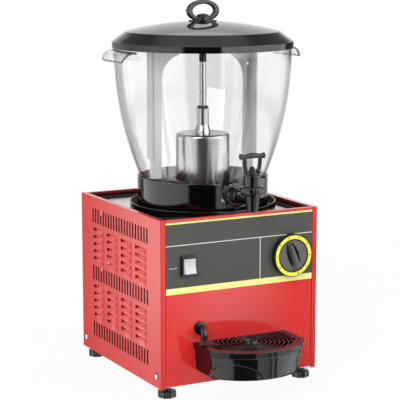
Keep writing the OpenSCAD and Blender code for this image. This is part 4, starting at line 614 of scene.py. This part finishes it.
def side_panel(sign, name, node):
    """A vented side: slots, louvres pushed inwards, a front strip and a top flange with a lip."""
    holes = SLOTS + LOUVRES
    us = cuts(holes, 0, FRONT, -138.4, FRONT_LIP, BACK_LIP, 138.8)
    vs = cuts(holes, 2, 0.0, TOP)
    x = sign * SIDE
    faces = [[(x, a, c), (x, a, d), (x, b, d), (x, b, c)] for a, b, c, d in cells(us, vs, holes)]
    for a, b, c, d in LOUVRES:
        spans = [u for u in us if a - 1e-3 < u < b + 1e-3]
        for u0, u1 in zip(spans, spans[1:]):
            k0 = sign * max(0.02, (u0 - a) / (b - a))
            k1 = sign * (u1 - a) / (b - a)
            for (i0, j0), (i1, j1) in zip(FLAP, FLAP[1:]):
                faces.append([(x - k0 * i0, u0, c + j0), (x - k0 * i1, u0, c + j1),
                              (x - k1 * i1, u1, c + j1), (x - k1 * i0, u1, c + j0)])
    strip = sign * STRIP
    for c, d in zip(vs, vs[1:]):
        faces.append([(strip, FRONT, c), (strip, FRONT, d), (x, FRONT, d), (x, FRONT, c)])
    lips = []
    for a, b in zip(us, us[1:]):
        faces.append([(x, a, TOP), (strip, a, TOP), (strip, b, TOP), (x, b, TOP)])
        if a >= FRONT_LIP and b <= BACK_LIP:
            lips.append([(strip, a, TOP), (strip, a, LIP_Z), (strip, b, LIP_Z), (strip, b, TOP)])
    # The lips inside the top well, and the sheet's inner faces and slot edges, are painted the dark red of
    # shade
    shapes = [quads(faces, flip=sign > 0), (*quads(lips, flip=sign > 0), 1)]
    piece(name, "base", shapes, [RED, SHADE_RED], [node], "red_sheet", bevel=2.2, segments=4, thick=SHEET,
          shade_material_offset=1)


side_panel(-1, "left_side_sheet", "left_side_panel")
side_panel(1, "right_side_sheet", "right_side_panel")
# Thin dark red rods down the front corners: painted shade along the fold between each side and the front
# strip
corner_shade_rods = [moved(prism(circle(0.8, 12), 0.6, 245.6), s * 129.25, -139.25) for s in (-1, 1)]
piece("corner_painted_shade", "base", corner_shade_rods, [SHADE_RED], (), "red_sheet")

# Front panel with its tongue slots, top lip and side returns
tongues = [(s * TONGUE_X - 9.3, s * TONGUE_X + 9.3, 49.2, 53.8) for s in (-1, 1)]
us = cuts(tongues, 0, -FLANGE, FLANGE)
vs = cuts(tongues, 2, 2.5, RETURN_LOW, RETURN_HIGH, TOP)
faces = [[(a, FRONT, c), (b, FRONT, c), (b, FRONT, d), (a, FRONT, d)]
         for a, b, c, d in cells(us, vs, tongues)]
for a, b in zip(us, us[1:]):
    faces.append([(a, FRONT, TOP), (b, FRONT, TOP), (b, FRONT_LIP, TOP), (a, FRONT_LIP, TOP)])
    faces.append([(a, FRONT_LIP, TOP), (b, FRONT_LIP, TOP), (b, FRONT_LIP, LIP_Z), (a, FRONT_LIP, LIP_Z)])
for s in (-1, 1):
    x = s * FLANGE
    for c, d in zip(vs, vs[1:]):
        if c >= RETURN_LOW and d <= RETURN_HIGH:
            corners = [(x, FRONT, c), (x, FRONT, d), (x, RETURN_Y, d), (x, RETURN_Y, c)]
            faces.append(corners if s < 0 else corners[::-1])
# Its inner faces and cut edges take the dark red of painted shade
piece("front_sheet", "base", [quads(faces)], [RED, SHADE_RED], ["front_panel"], "red_sheet", bevel=1.2,
      thick=SHEET, shade_material_offset=1)

# Back panel with two rows of slots
holes = [h for h in SLOTS if h[2] > 100]
us = cuts(holes, 0, -SIDE, SIDE, -FLANGE, FLANGE)
vs = cuts(holes, 2, 0.0, TOP)
faces = [[(a, BACK, c), (a, BACK, d), (b, BACK, d), (b, BACK, c)] for a, b, c, d in cells(us, vs, holes)]
lips = []
for a, b in zip(us, us[1:]):
    if -FLANGE <= a < FLANGE:
        faces.append([(a, BACK, TOP), (a, BACK_LIP, TOP), (b, BACK_LIP, TOP), (b, BACK, TOP)])
        lips.append([(a, BACK_LIP, TOP), (a, BACK_LIP, LIP_Z), (b, BACK_LIP, LIP_Z), (b, BACK_LIP, TOP)])
# The lips, and the inner faces and slot edges, take the dark red of painted shade
piece("back_sheet", "base", [quads(faces), (*quads(lips), 1)], [RED, SHADE_RED], ["back_panel"], "red_sheet",
      bevel=1.2, thick=SHEET, shade_material_offset=1)

# Black strip under the lips, round the recessed top plate: painted shade of the gap beneath the lips
outline = [(-122, -135.2), (122, -135.2), (122, 134.6), (-122, 134.6)]
opening = [(-116, -132.6), (116, -132.6), (116, 126), (-116, 126)]
piece("well_shade_strip", "base", [prism(outline, 235.6, 239.4, [opening])], [RUBBER_BLACK], (), "black_rubber",
      bevel=0.8)


def screw_head():
    """A pan head with a cross recess, drawn along Z."""
    dome = [(0.33 * k, 2.2 - 0.9 * (0.33 * k / 4.4) ** 2.6) for k in range(13)]
    verts, made = lathe([(4.4, 0.0), (4.4, 0.7), (4.2, 1.05)] + dome[::-1], 48)
    deep = []
    for x, y, z in verts:
        near, far = sorted((abs(x), abs(y)))
        recess = near < 0.5 and far < 2.5 and z > 1.2
        deep.append((x, y, z - 0.9 * (1 - far / 3.2) if recess else z))
    return deep, made


# A thin black ring under each screw head: painted shadow round the head
shade_ring = hoop([(4.3, 0), (5.6, 0), (5.6, 0.5), (4.3, 0.5)], [0, 0.2, 0.2, 0], 48)
heads = []
for shape, number in ((screw_head(), 0), (shade_ring, 1)):
    for s in (-1, 1):
        for y in (-126.0, 126.0):
            head = mapped(shape, lambda p, s=s, y=y: (s * (SIDE + p[2]), y + s * p[0], SCREW_Z + p[1]))
            heads.append((*head, number))
    for x in (-108.0, 108.0):
        heads.append((*mapped(shape, lambda p, x=x: (x - p[0], BACK + p[2], SCREW_Z + p[1])), number))
piece("screw_heads", "base", heads, [SCREW, RUBBER_BLACK], ["panel_screws"], "zinc_screws", smooth=30)

# Levelling feet with eight lobes
lobes = []
for a in [TAU * i / 144 for i in range(144)]:
    r = 14 - 1.9 * sin(4 * a) ** 2
    lobes.append((r * cos(a), r * sin(a)))
stack = []
for z, grow in ((-16, 0.86), (-15.3, 0.95), (-14.6, 1.0), (-7.4, 1.0), (-6.6, 0.96), (-6, 0.88)):
    stack.append([(x * grow, y * grow, z) for x, y in lobes])
knob = skin(stack, caps=True)
neck = hoop([(0, -6.5), (6.5, -6.5), (6.5, 1.3), (3.9, 1.3), (3.9, 14.5), (0, 14.5)],
            [0, 0.6, 0.5, 0.2, 0.8, 0], 48, closed=False)
for name, x, y in (("foot_front_left", -113, -125), ("foot_front_right", 113, -125),
                   ("foot_back_left", -113, 125), ("foot_back_right", 113, 125)):
    piece(name + "_knob", name, [moved(knob, x, y), moved(neck, x, y)], [FOOT], [name], "foot_plastic")

# Grey label with its yellow stripes and pale lines, open at the switch and at the knob's shaft
STRIPES = (147.5, 240.4)
LINE_Z = (208.8, 210.0)
LINE_X = (32.0, 33.2)
label_holes = [(-99.0, -74.0, 165.0, 192.0), (78.5, 89.5, 173.0, 184.0)]
us = cuts(label_holes, 0, -121.5, 121.5, *LINE_X)
vs = cuts(label_holes, 2, 138.5, 243.0, *STRIPES, *LINE_Z)
coloured = {0: [], 1: [], 2: []}
for a, b, c, d in cells(us, vs, label_holes):
    u = (a + b) / 2
    v = (c + d) / 2
    ink = 0
    if v < STRIPES[0] or v > STRIPES[1]:
        ink = 1
    elif LINE_Z[0] < v < LINE_Z[1] or (LINE_X[0] < u < LINE_X[1] and v < LINE_Z[0]):
        ink = 2
    coloured[ink].append([(a, FILM_Y, c), (b, FILM_Y, c), (b, FILM_Y, d), (a, FILM_Y, d)])
film = [(*quads(coloured[i]), i) for i in range(3)]
piece("control_film", "base", film, [LABEL, YELLOW, PALE], ["control_label"], "label_film", thick=0.4)


# Bowl, dish and cooling cylinder

dish = [(50.7, PLATE_Z), (108.2, PLATE_Z), (110.4, 238.2), (110.4, 250.2), (108.4, 250.2), (108.4, 238),
        (50.7, 238)]
dish = hoop(dish, [0, 1, 2, 0.9, 0.7, 2, 0], 128)
piece("drip_dish", "base", [on_bowl(dish)], [BLACK], ["base_dish"])

COLLAR_R = 98.0
COLLAR_TOP = 288.4
TAP_SLOT_R = 21.5


def collar():
    """The collar's wall, whose top edge dips to a rounded slot round the tap."""
    half = asin(TAP_SLOT_R / COLLAR_R)
    columns = [(-half, COLLAR_TOP)]
    for i in range(33):
        a = half * (i / 16 - 1)
        x = COLLAR_R * sin(a)
        columns.append((a, TAP_Z - sqrt(max(0.0, TAP_SLOT_R ** 2 - x * x))))
    columns += [(half + (TAU - 2 * half) * i / 120, COLLAR_TOP) for i in range(120)]
    rows = []
    for a, top in columns:
        outer = 98.2 + 0.8 * (top - 238) / 50.4
        inner = 95.7 + 0.9 * (top - 249) / 39.4
        wall = [(78.5, 238), (98.2, 238), (outer, top), (inner, top), (95.7, 249), (78.5, 249)]
        rows.append([(r * sin(a), -r * cos(a), z) for r, z in wall])
    return skin(rows, along=True)


piece("tap_collar", "base", [on_bowl(collar())], [BLACK], ["bowl_collar"], bevel=1.15, limit=50)

evaporator = [(50.4, PLATE_Z), (50.4, 237), (43, 237)] + arc(43, 239.6, 2.6, -90, -180, 8)
evaporator += arc(36.4, 348.5, 4, 0, 90, 10) + [(9.3, 352.5), (9.3, 351.3), (39.2, 348), (39.2, PLATE_Z)]
piece("cooling_cylinder", "base", [round_bowl(evaporator, 128)], [STEEL], ["evaporator_cylinder"],
      "stainless", smooth=30)

guide = [(7.0, 234.3), (9.2, 234.3), (9.2, 352.5), (12.0, 352.5), (11.9, 353.4)]
for i in range(13):
    guide.append((11.7 - 2.5 * eased(i / 12), 354.4 + 11.5 * i / 12))
guide += [(9.2, 389.2), (8.7, 390), (7.0, 390)]
piece("shaft_guide_tube", "base", [round_bowl(guide, 96)], [STEEL], ["shaft_guide"], "stainless", smooth=30)
cap = hoop([(4.95, 390), (8.5, 390), (8.3, 391.6), (7.0, 393), (4.95, 393)], [0, 0.3, 0.6, 0.6, 0], 64)
piece("shaft_seal_cap", "base", [on_bowl(cap)], [RUBBER_BLACK], ["shaft_seal"], "black_rubber", smooth=30)

hub = [(4.4, 459.2), (5.5, 459.2), (5.5, 470.2), (5.0, 470.7), (5.0, 472), (5.5, 472.5), (5.5, 491)]
hub += arc(3.3, 491.5, 2.2, 0, 90, 6) + [(0, 494), (0, 474.4), (4.4, 474.4)]
piece("stirrer_hub_sleeve", "stirrer", [round_bowl(hub, 64)], [SATIN], ["stirrer_hub"], smooth=30)


def stirrer():
    """The stirrer's arch of sheet, with a fin folded back on the left leg and forwards on the right one."""
    leg, foot, knee, shoulder = 82, 288, 316, 475
    outer = [(-leg, foot), (-leg, knee), (-leg, shoulder)] + arc(-68, shoulder, 14, 180, 90, 10)[1:]
    outer += arc(68, shoulder, 14, 90, 0, 10) + [(leg, knee), (leg, foot), (69, foot)]
    outer += arc(31, 433.5, 38, 0, 90, 16) + arc(-31, 433.5, 38, 90, 180, 16) + [(-69, foot)]
    flat, made = plate(outer, [[(77.2 + x, 453.5 + y) for x, y in circle(2.1, 20)]])
    shapes = [([(x, 0.0, z) for x, z in flat], made)]
    fin = [(0, foot), (10, foot), (10, knee), (0, knee)]
    fin += [(0, knee), (10, knee), (21, knee), (21, shoulder), (0, shoulder)]
    for s in (-1, 1):
        shapes.append(([(s * leg, -s * out, z) for out, z in fin], [[0, 1, 2, 3], [4, 5, 6, 7, 8]]))
    return [on_bowl(shape) for shape in shapes]


piece("stirrer_arch", "stirrer", stirrer(), [SHEET_STEEL], ["stirrer_frame"], "stainless", bevel=1.6,
      segments=4, thick=1.5, offset=0.0)


def bowl_radius(z, inset=0.0):
    """Radius of the bowl's outside at a height, less an inset."""
    return -366.77 + sqrt((500 - inset) ** 2 - (z - 479.35) ** 2)


def see_through(name, shape, material, nodes=(), **options):
    """A clear piece of the bowl, which casts no shadow."""
    obj = piece(name, "bowl", [shape], [material], nodes, "clear_plastic", **options)
    obj.visible_shadow = False


bowl_hole = 45.5
heights = [291 + (484.2 - 291) * i / 36 for i in range(37)]
bowl = [(bowl_hole, 249.2), (86.7, 249.2)] + arc(87.5, 252.2, 3, -90, 0, 6)
bowl += [(bowl_radius(z), z) for z in heights]
bowl += [(bowl_radius(485) - 0.6, 484.9), (bowl_radius(485) - 2.9, 484.9)]
bowl += [(bowl_radius(z, 3.5), z) for z in reversed(heights)]
bowl += arc(84.0, 256.2, 3, 0, -90, 6) + [(bowl_hole, 253.2)]
see_through("bowl_shell", round_bowl(bowl, 160), CLEAR, ["bowl"], smooth=50)
boss = hoop([(8.8, 0), (16.5, 0), (16.5, 3.2), (8.8, 3.2)], [0, 0.4, 0, 0], 64)
see_through("bowl_boss", along_bore(boss, -119.4), CLEAR)

# Reach, height and half width of the ears, from the bowl outwards
EAR_ROWS = [(131.0, 477.4, 39.5), (136.0, 477.2, 39.0), (140.2, 476.6, 38.2), (143.6, 474.8, 37.0),
            (146.6, 472.2, 35.8), (148.8, 469.4, 34.8), (150.2, 466.8, 34.0), (150.8, 465.0, 33.4)]


def ear(s):
    """A clear lifting ear: a sloping tongue with a turned-down lip, and the bead along its edge."""
    rows = []
    for x, z, half in EAR_ROWS:
        rows.append([(s * (x - 3.2 * abs(t) ** 2.4), half * t, z) for t in [i / 16 - 1 for i in range(33)]])
    verts, faces = skin(rows, around=False)
    if s < 0:
        faces = [face[::-1] for face in faces]
    edge = [row[0] for row in rows] + rows[-1][1:-1] + [row[-1] for row in reversed(rows)]
    return (verts, faces), sweep(edge, circle(1.2, 16), side=(0, 0, 1))


for s, name in ((-1, "bowl_ear_left"), (1, "bowl_ear_right")):
    tongue, bead = ear(s)
    see_through(name, on_bowl(tongue), CLEAR, thick=2.0)
    # The bead takes the denser clear plastic, which paints shade on the ear's edge
    see_through(name + "_bead", on_bowl(bead), CLEAR_EDGE_SHADE)

# Lid with its ring handle
lid = [(135.8, 480.6), (135.8, 489.6), (135.2, 490.4), (134.4, 490.8), (115.4, 504.6)]
lid = rounded(lid + [(114.6, 504.9)], [0, 0.3, 0.2, 0.3, 0.8, 0], closed=False)
lid_curve = 451.4
for i in range(1, 25):
    r = 114.6 + (22 - 114.6) * i / 24
    lid.append((r, 519.6 - lid_curve + sqrt(lid_curve ** 2 - r * r)))
lid += [(21.6, PAD_Z), (0, PAD_Z), (0, 516.5), (22, 516.5)]
for i in range(1, 17):
    r = 22 + (112.6 - 22) * i / 16
    lid.append((r, 517.0 - lid_curve + sqrt(lid_curve ** 2 - r * r)))
lid += [(127.7, 489.8), (127.7, 485.3), (133.8, 485.3), (133.8, 480.6)]
piece("lid_cover", "lid", [on_bowl(lathe(lid, 160))], [BLACK], ["lid"], smooth=24)


def lid_handle():
    """The ring handle, cut flat where it stands on the lid."""
    loops = []
    for wide, tall in ((26.8, 16.4), (18.0, 10.0)):
        loops.append([(wide * x, max(15.4 + tall * y, 0.8)) for x, y in circle(1, 96)])
    ring = prism(loops[0], -3.5, 3.5, [loops[1]])
    return on_bowl(mapped(ring, lambda p: (p[0], p[2], PAD_Z + p[1])))


piece("handle_ring", "lid", [lid_handle()], [BLACK], ["lid_handle"], bevel=1.7)
foot = hoop([(0, 0), (21, 0), (21, 2), (12.2, 2.1), (11.6, 5.4), (8.6, 9.4), (5.2, 11.0), (4.3, 11.0),
             (4.3, 7.2), (0, 7.2)], [0, 0.5, 0.8, 0.8, 3, 3.5, 0.8, 0.2, 0, 0], 96, closed=False)
piece("handle_foot", "lid", [moved(foot, 0, BOWL_Y, PAD_Z)], [BLACK], smooth=30)


# Controls

def words(text, size, heavier=0.0):
    """Flat letters of a built-in face, centred, drawn in X and Y."""
    curve = bpy.data.curves.new("letters", "FONT")
    curve.body = text
    curve.size = size
    curve.align_x = "CENTER"
    curve.align_y = "CENTER"
    curve.resolution_u = 3
    curve.offset = heavier
    obj = linked("letters", curve)
    graph = bpy.context.evaluated_depsgraph_get()
    mesh = bpy.data.meshes.new_from_object(obj.evaluated_get(graph))
    shape = ([tuple(v.co) for v in mesh.vertices], [list(f.vertices) for f in mesh.polygons])
    bpy.data.objects.remove(obj)
    bpy.data.curves.remove(curve)
    bpy.data.meshes.remove(mesh)
    return shape


def rectangle(w, h, r):
    """A rectangle's outline with rounded corners."""
    return rounded([(-w / 2, -h / 2), (w / 2, -h / 2), (w / 2, h / 2), (-w / 2, h / 2)], r)


# Rocker switch
SWITCH = (-86.5, 178.5)
ROCKER_PIN_Y = -142.9
LETTER_Y = -140.46
bezel = [prism(rectangle(25, 31, 1.6), 0, 3.2, [rectangle(21.4, 26.4, 1.2)]),
         prism(rectangle(22.4, 27.4, 1.4), -8, 5, [rectangle(18.1, 22.3, 0.8)]),
         prism(rectangle(22.4, 27.4, 1.4), -20, -8)]
piece("switch_bezel", "base", [facing(s, SWITCH[0], FRONT, SWITCH[1]) for s in bezel], [BLACK],
      ["switch_housing"], bevel=0.5)
rocker = [(-10.75, 7.4), (-10.75, -3), (0, -5), (10.75, -3), (10.75, 7.4)]
rocker += [(10.75 * (1 - k / 8), 5.6 + 1.8 * abs(1 - k / 8) ** 1.6) for k in range(1, 16)]
tilt = radians(-7)


def rock(p):
    """A point of the rocker's outline (height, reach) across its width, tilted about its pin."""
    y = -p[1]
    z = p[0]
    return (SWITCH[0] + p[2], ROCKER_PIN_Y + y * cos(tilt) - z * sin(tilt),
            SWITCH[1] + y * sin(tilt) + z * cos(tilt))


piece("switch_paddle", "rocker", [mapped(prism(rocker, -8.75, 8.75), rock)], [ROCKER], ["switch_rocker"],
      "rocker_plastic", bevel=0.6)
letters = [mapped(words("ON-OFF", 3.6), lambda p: (-110.0 + p[0], LETTER_Y, 176.5 + p[1]))]
piece("switch_words", "base", letters, [PALE], (), "label_film", thick=0.04)

# Thermostat knob: black skirt, yellow ring with its numbers, grey face with a wedge grip between two scoops
KNOB = (84.0, -140.7, 178.5)
FACE_R = 23.2
FACE_TOP = 8.6
FACE_ROWS = 46
NUMBER_R = 27.85
NUMBER_Z = 9.56
skirt = [(4, 0), (32, 0), (32, 8.4), (31.6, 9.1), (30.8, 9.6), (30.5, 9.5)]
inner = [(25.2, 9.5), (25.0, 9.3), (24.6, 8.0), (24.0, 7.8), (23.6, 8.1), (FACE_R, FACE_TOP)]
lean = radians(21)


def grip(x, z):
    """Height of the knob's face above its back at a place."""
    a = -x * sin(lean) + z * cos(lean)
    b = x * cos(lean) + z * sin(lean)
    half = 3.6 - a * 0.1
    reach = max(0.0, 1 - (a / 23.0) ** 2)
    lens = 9.6 * reach ** 0.62
    ridge = eased((half * 1.25 - abs(b)) / (half * 0.55))
    scoop = 0.0
    if lens > abs(b) > half * 0.6:
        t = (abs(b) - half * 0.6) / max(0.1, lens - half * 0.6)
        scoop = sin(pi * (1 - t) ** 0.8) * 3.6 * reach
    edge = min(1.0, reach * 3.2)
    return FACE_TOP + 6.6 * ridge * edge - scoop


dial = [(*lathe(skirt), 0), (*lathe([(30.5, 9.5), (25.2, 9.5)]), 1), (*lathe(inner), 0)]
rows = []
for k in range(FACE_ROWS + 1):
    edge = k == FACE_ROWS
    rows.append([(x, y, FACE_TOP if edge else grip(x, y)) for x, y in circle(FACE_R * k / FACE_ROWS, 96)])
verts, strips = skin(rows)
faces = []
scoop_shade = []
# Faces sunk below the face's level, in the scoops, take the skirt's black: painted shade in the recesses
for face in strips:
    low = sum(verts[v][2] for v in face) / 4
    (scoop_shade if low < 7.9 else faces).append(face)
dial.append((verts, faces, 2))
dial.append((verts, scoop_shade, 0))
piece("dial", "knob", [(*facing(s, *KNOB), s[2]) for s in dial], [SATIN, RING, FACE],
      ["thermostat_knob"], "knob_plastic", smooth=32)
marks = []
for i in range(9):
    mark = moved(words(str(i), 4.4, 0.15), 0, NUMBER_R, NUMBER_Z)
    marks.append(facing(spun(mark, radians(125 - 36.0 * i)), *KNOB))
piece("dial_numbers", "knob", marks, [INK], (), "knob_plastic", thick=0.04)

# Drain elbow
DRAIN_X = -67
DRAIN_Y = -152.5
DRAIN_Z = 85
bend = [(DRAIN_X, -139.0, DRAIN_Z), (DRAIN_X, -143.5, DRAIN_Z)]
for i in range(1, 13):
    t = pi / 2 * i / 12
    bend.append((DRAIN_X, -143.5 - 9 * sin(t), 76 + 9 * cos(t)))
bend += [(DRAIN_X, DRAIN_Y, z) for z in (72, 69.4, 69)]
rose = hoop([(3, 0), (10, 0), (10, 1.6), (7.4, 3.4), (5, 3.6), (3, 3.6)], [0, 0.3, 1.2, 1.2, 0, 0], 48)
rose = facing(rose, DRAIN_X, FRONT, DRAIN_Z)
mouth = hoop([(4.6, 0), (5.5, 0), (5.5, 2.4), (4.6, 2.4)], [0, 0.5, 0.5, 0], 32)
piece("drain_pipe", "base", [rose, tube(bend, 5, 3.4), moved(mouth, DRAIN_X, DRAIN_Y, 69)], [BLACK],
      ["drain_elbow"], smooth=35)


# Drip tray and grille: their fronts are round about one axis, and they are narrower than that round
TRAY_BACK = -140.3
TRAY_Y = -146
NARROWER = 13


def d_outline(radius, back):
    """The outline of the tray or the grille, from the back left round the front to the back right."""
    half = radius - NARROWER
    corner = asin(half / radius)
    reach = TRAY_Y - radius * cos(corner) - back
    side = [(-half, back + reach * i / 10) for i in range(10)]
    angles = [corner * (2 * i / 180 - 1) for i in range(181)]
    front = [(radius * sin(a), TRAY_Y - radius * cos(a)) for a in angles]
    return side + front + [(-x, y) for x, y in reversed(side)]


def arch(turn, z):
    """How far the tray's wall is drawn in at a place: under an arch on each half of the front."""
    a = abs(degrees(turn))
    low, peak, high = 9.0, 40.0, 62.0
    if a < low or a > high:
        return 0.0
    t = (a - peak) / (peak - low) if a < peak else (a - peak) / (high - peak)
    top = 22.5 + 25.0 * sqrt(max(0.0, 1 - t * t))
    return 2.3 * eased((top - z) / 2.2)


def tray():
    """The tray: tapered wall with arches, a proud rim band, a ledge for the grille and a floor."""
    foot = [(84.6, 22.5), (85.4, 22.8)]
    wall = [(86 + 2.5 * i / 52, 23.7 + (54.6 - 23.7) * i / 52) for i in range(53)]
    rim = [(88.7, 55.3), (90.4, 55.5), (91, 56.2), (91, 63.6), (90.4, 64.4), (89.6, 64.5), (84.2, 64.5)]
    well = [(83.5, 64.0), (83.5, 60.4), (79.8, 60.4), (79.5, 59.8), (79.2, 57.0), (82.0, 53.0), (81.0, 27.0),
            (79.0, 25.0)]
    rings = []
    for levels, back, arched in ((foot, TRAY_BACK - 0.8, False), (wall, TRAY_BACK, True),
                                 (rim, TRAY_BACK, False), (well, TRAY_BACK - 3, False)):
        for radius, z in levels:
            ring = []
            for x, y in d_outline(radius, back):
                turn = atan2(x, TRAY_Y - y)
                draw = arch(turn, z) if arched else 0.0
                ring.append((x - draw * sin(turn), y + draw * cos(turn), z))
            rings.append(ring)
    return skin(rings, caps=True)


tongue = prism(rectangle(18, 4, 0.6), 0, 9)
tongue_pair = [mapped(tongue, lambda p, s=s: (s * TONGUE_X + p[0], TRAY_BACK + p[2] - 0.2, 51.5 + p[1]))
               for s in (-1, 1)]
block = [(-70.4, -161.3), (-53.5, -161.3), (-53.5, TRAY_BACK), (-70.4, TRAY_BACK)]
drain_hole = [(DRAIN_X + x * 0.9, DRAIN_Y + y) for x, y in circle(3.3, 32)]
drain = prism(rounded(block, [0.5, 3, 0.5, 0.5]), 58.0, 64.5, [drain_hole])
piece("tray_pan", "tray", [tray(), *tongue_pair], [TRAY_BLACK], ["drip_tray"], smooth=32)
piece("tray_drain", "tray", [drain], [TRAY_BLACK], bevel=0.4)

GRILLE_BACK = -140.6
GRILLE_R = 82.9
GRILLE_LOW = 60.6
GRILLE_TOP = 64.2
BAR = rounded([(-1.0, -3.4), (1.0, -3.4), (1.0, 0.0), (-1.0, 0.0)], [0, 0, 0.7, 0.7], 3)


def in_grille(x, y, margin):
    """Whether a place is inside the grille's border and clear of the drain's corner."""
    if y > GRILLE_BACK - 0.9 or abs(x) > GRILLE_R - NARROWER - margin or (x < -51.5 and y > -163.5):
        return False
    return hypot(x, y - TRAY_Y) < GRILLE_R - margin


runs = []
for i in range(14):
    r = 15.5 + 6.5 * i
    run = []
    for k in range(-1, 361):
        a = radians(90 + k)
        x = r * cos(a)
        y = TAP_Y + r * sin(a)
        if k < 360 and in_grille(x, y, 3.5):
            run.append((x, y, GRILLE_TOP))
        else:
            if len(run) > 3:
                runs.append(run)
            run = []
bars = [sweep(run, [(v, u) for u, v in BAR], side=(0, 0, 1)) for run in runs]
outer = d_outline(GRILLE_R, GRILLE_BACK)
inner_edge = d_outline(GRILLE_R - 5, GRILLE_BACK)
border = prism(outer + inner_edge[::-1], GRILLE_LOW, GRILLE_TOP)
crater = lathe([(6.0, 60.8), (10.6, 60.8), (10.6, 62.6), (10.2, 64.2), (9.2, 65.8), (8.5, 66.2), (7.7, 66.0),
                (6.6, 64.8), (6.0, 63.4)], 48, closed=True)
ribs = []
for i in range(10):
    a = TAU * (i + 0.5) / 10
    reach = 9.5
    while reach < 90 and in_grille(reach * cos(a), TAP_Y + reach * sin(a), 3.0):
        reach += 0.5
    if reach > 12:
        shape = prism([(9.0, -0.9), (reach, -0.9), (reach, 0.9), (9.0, 0.9)], GRILLE_LOW, 62.4)
        ribs.append(on_tap(spun(shape, a)))
notch = [(-70, -166), (-50, -166), (-50, GRILLE_BACK), (-53, GRILLE_BACK), (-53, -163), (-70, -163)]
notch = prism(notch, GRILLE_LOW, GRILLE_TOP)
piece("grille_plate", "grille", [border, notch], [TRAY_BLACK], ["drip_grille"], bevel=0.5)
piece("grille_bars", "grille", [*bars, on_tap(crater), *ribs], [TRAY_BLACK], smooth=35)


# Tap
spout = on_tap(hoop([(5.5, 255.2), (8.3, 255.2), (12.0, 280.6), (5.5, 280.6)], [0, 0.9, 0, 0], 64))
shank = [(3, 0), (8.5, 0), (8.5, 34.5), (9.6, 36.5), (11.5, 37.5), (11.5, 42.5), (15, 43.5), (16, 44.3),
         (16, 47.5), (15.4, 48.1), (8.5, 48.1), (8.5, 69.2), (3, 69.2)]
shank = along_bore(hoop(shank, [0, 0, 2, 1, 1, 1, 1, 0.5, 0.4, 0.4, 0, 0.6, 0], 64), TAP_Y + 3)
screw_boss = hoop([(1.1, -3), (3.3, -3), (3.3, 0.6), (2.7, 1.3), (1.9, 1.3), (1.1, 0.2)],
                  [0, 0, 0.4, 0.3, 0.2, 0], 32)
screw_boss = facing(screw_boss, -8.6, -125.6, 263.5)
piece("tap_spout", "bowl", [spout, shank, screw_boss], [TAP_BLACK], ["tap_body"], smooth=32)


def grip_nut():
    """The bonnet nut: a rounded shoulder, shallow grips and a taper below."""
    outline = [(11.9, 279.0), (13.6, 279.2), (16.4, 282.2), (17.0, 283.2), (17.2, 284.4), (17.2, 288.4),
               (16.9, 289.8), (16.0, 291.4), (14.6, 292.2), (11.9, 292.2)]
    verts, made = lathe(rounded(outline, 0.5, 2), 120, closed=True)
    cut = []
    for x, y, z in verts:
        r = hypot(x, y)
        a = atan2(y, x)
        if r > 15.6:
            r -= 0.45 * max(0.0, cos(10 * a)) ** 6
        cut.append((r * cos(a), r * sin(a), z))
    return cut, made


piece("tap_nut", "bowl", [on_tap(grip_nut())], [TAP_BLACK], ["tap_bonnet_nut"], smooth=32)
bonnet = [(6.0, 280.4), (11.8, 280.4), (11.8, 307.4), (11.2, 308.5), (10.2, 308.8), (8.4, 308.8),
          (7.4, 308.0), (5.0, 307.8), (4.4, 307.2), (4.4, 300.0), (6.0, 299.0)]
piece("tap_bonnet_shell", "bowl", [on_tap(lathe(rounded(bonnet, 0.5, 3), 80, closed=True))], [TAP_BLACK],
      ["tap_bonnet"], smooth=32)
nut = prism(circle(13.5, 6), 0, 6, [circle(8.6, 48)])
piece("tap_back_nut", "bowl", [along_bore(nut, -107.3)], [BLACK], ["tap_lock_nut"], bevel=0.8)

stem = [(0, 262.4), (4.0, 262.4), (4.2, 264.0), (4.2, 316.4)] + arc(0, 316.6, 4.2, 0, 90, 10)[1:]
pin = hoop([(0, -12.6), (1.5, -12.6), (1.5, 12.6), (0, 12.6)], [0, 0.4, 0.4, 0], 24, closed=False)
pin = mapped(pin, lambda p: (p[2], TAP_Y + p[0], LEVER_PIN_Z + p[1]))
piece("valve_rod", "valve", [on_tap(lathe(stem, 48)), pin], [SATIN], ["valve_stem"], smooth=35)


def lever():
    """The lever: two bowed arms with round eyes on the pin, and a bar with ball ends."""
    path = [(-21.9, TAP_Y, LEVER_BAR_Z)]
    sizes = [0.15]
    for k in range(25):
        x = 21.0 * (k / 12 - 1)
        mid = exp(-(x / 9.0) ** 2)
        ends = exp(-((abs(x) - 19.0) / 3.0) ** 2)
        path.append((x, TAP_Y, LEVER_BAR_Z + 0.7 * mid))
        sizes.append(2.2 if k in (0, 24) else 3.0 + 0.9 * mid + 1.3 * ends)
    path.append((21.9, TAP_Y, LEVER_BAR_Z))
    sizes.append(0.15)
    shapes = [sweep(path, circle(1, 28), side=(0, 1, 0), scale=sizes)]
    section = [(2.7 * copysign(abs(u) ** 0.7, u), 2.8 * copysign(abs(v) ** 0.7, v))
               for u, v in circle(1, 28)]
    eye = hoop([(1.55, 7.7), (4.0, 7.7), (4.0, 11.6), (1.55, 11.6)], [0, 0.8, 0.8, 0], 40)
    for s in (-1, 1):
        arm = []
        for k in range(17):
            t = k / 16
            bow = 9.6 + 3.2 * sin(pi * (0.5 * t + 0.02)) ** 0.8
            arm.append((s * bow, TAP_Y, 311.0 + 24.0 * t))
        shapes.append(sweep(arm, section))
        shapes.append(mapped(eye, lambda p, s=s: (s * p[2], TAP_Y + p[0], LEVER_PIN_Z + p[1])))
    return shapes


piece("tap_wishbone", "lever", lever(), [TAP_BLACK], ["tap_lever"])
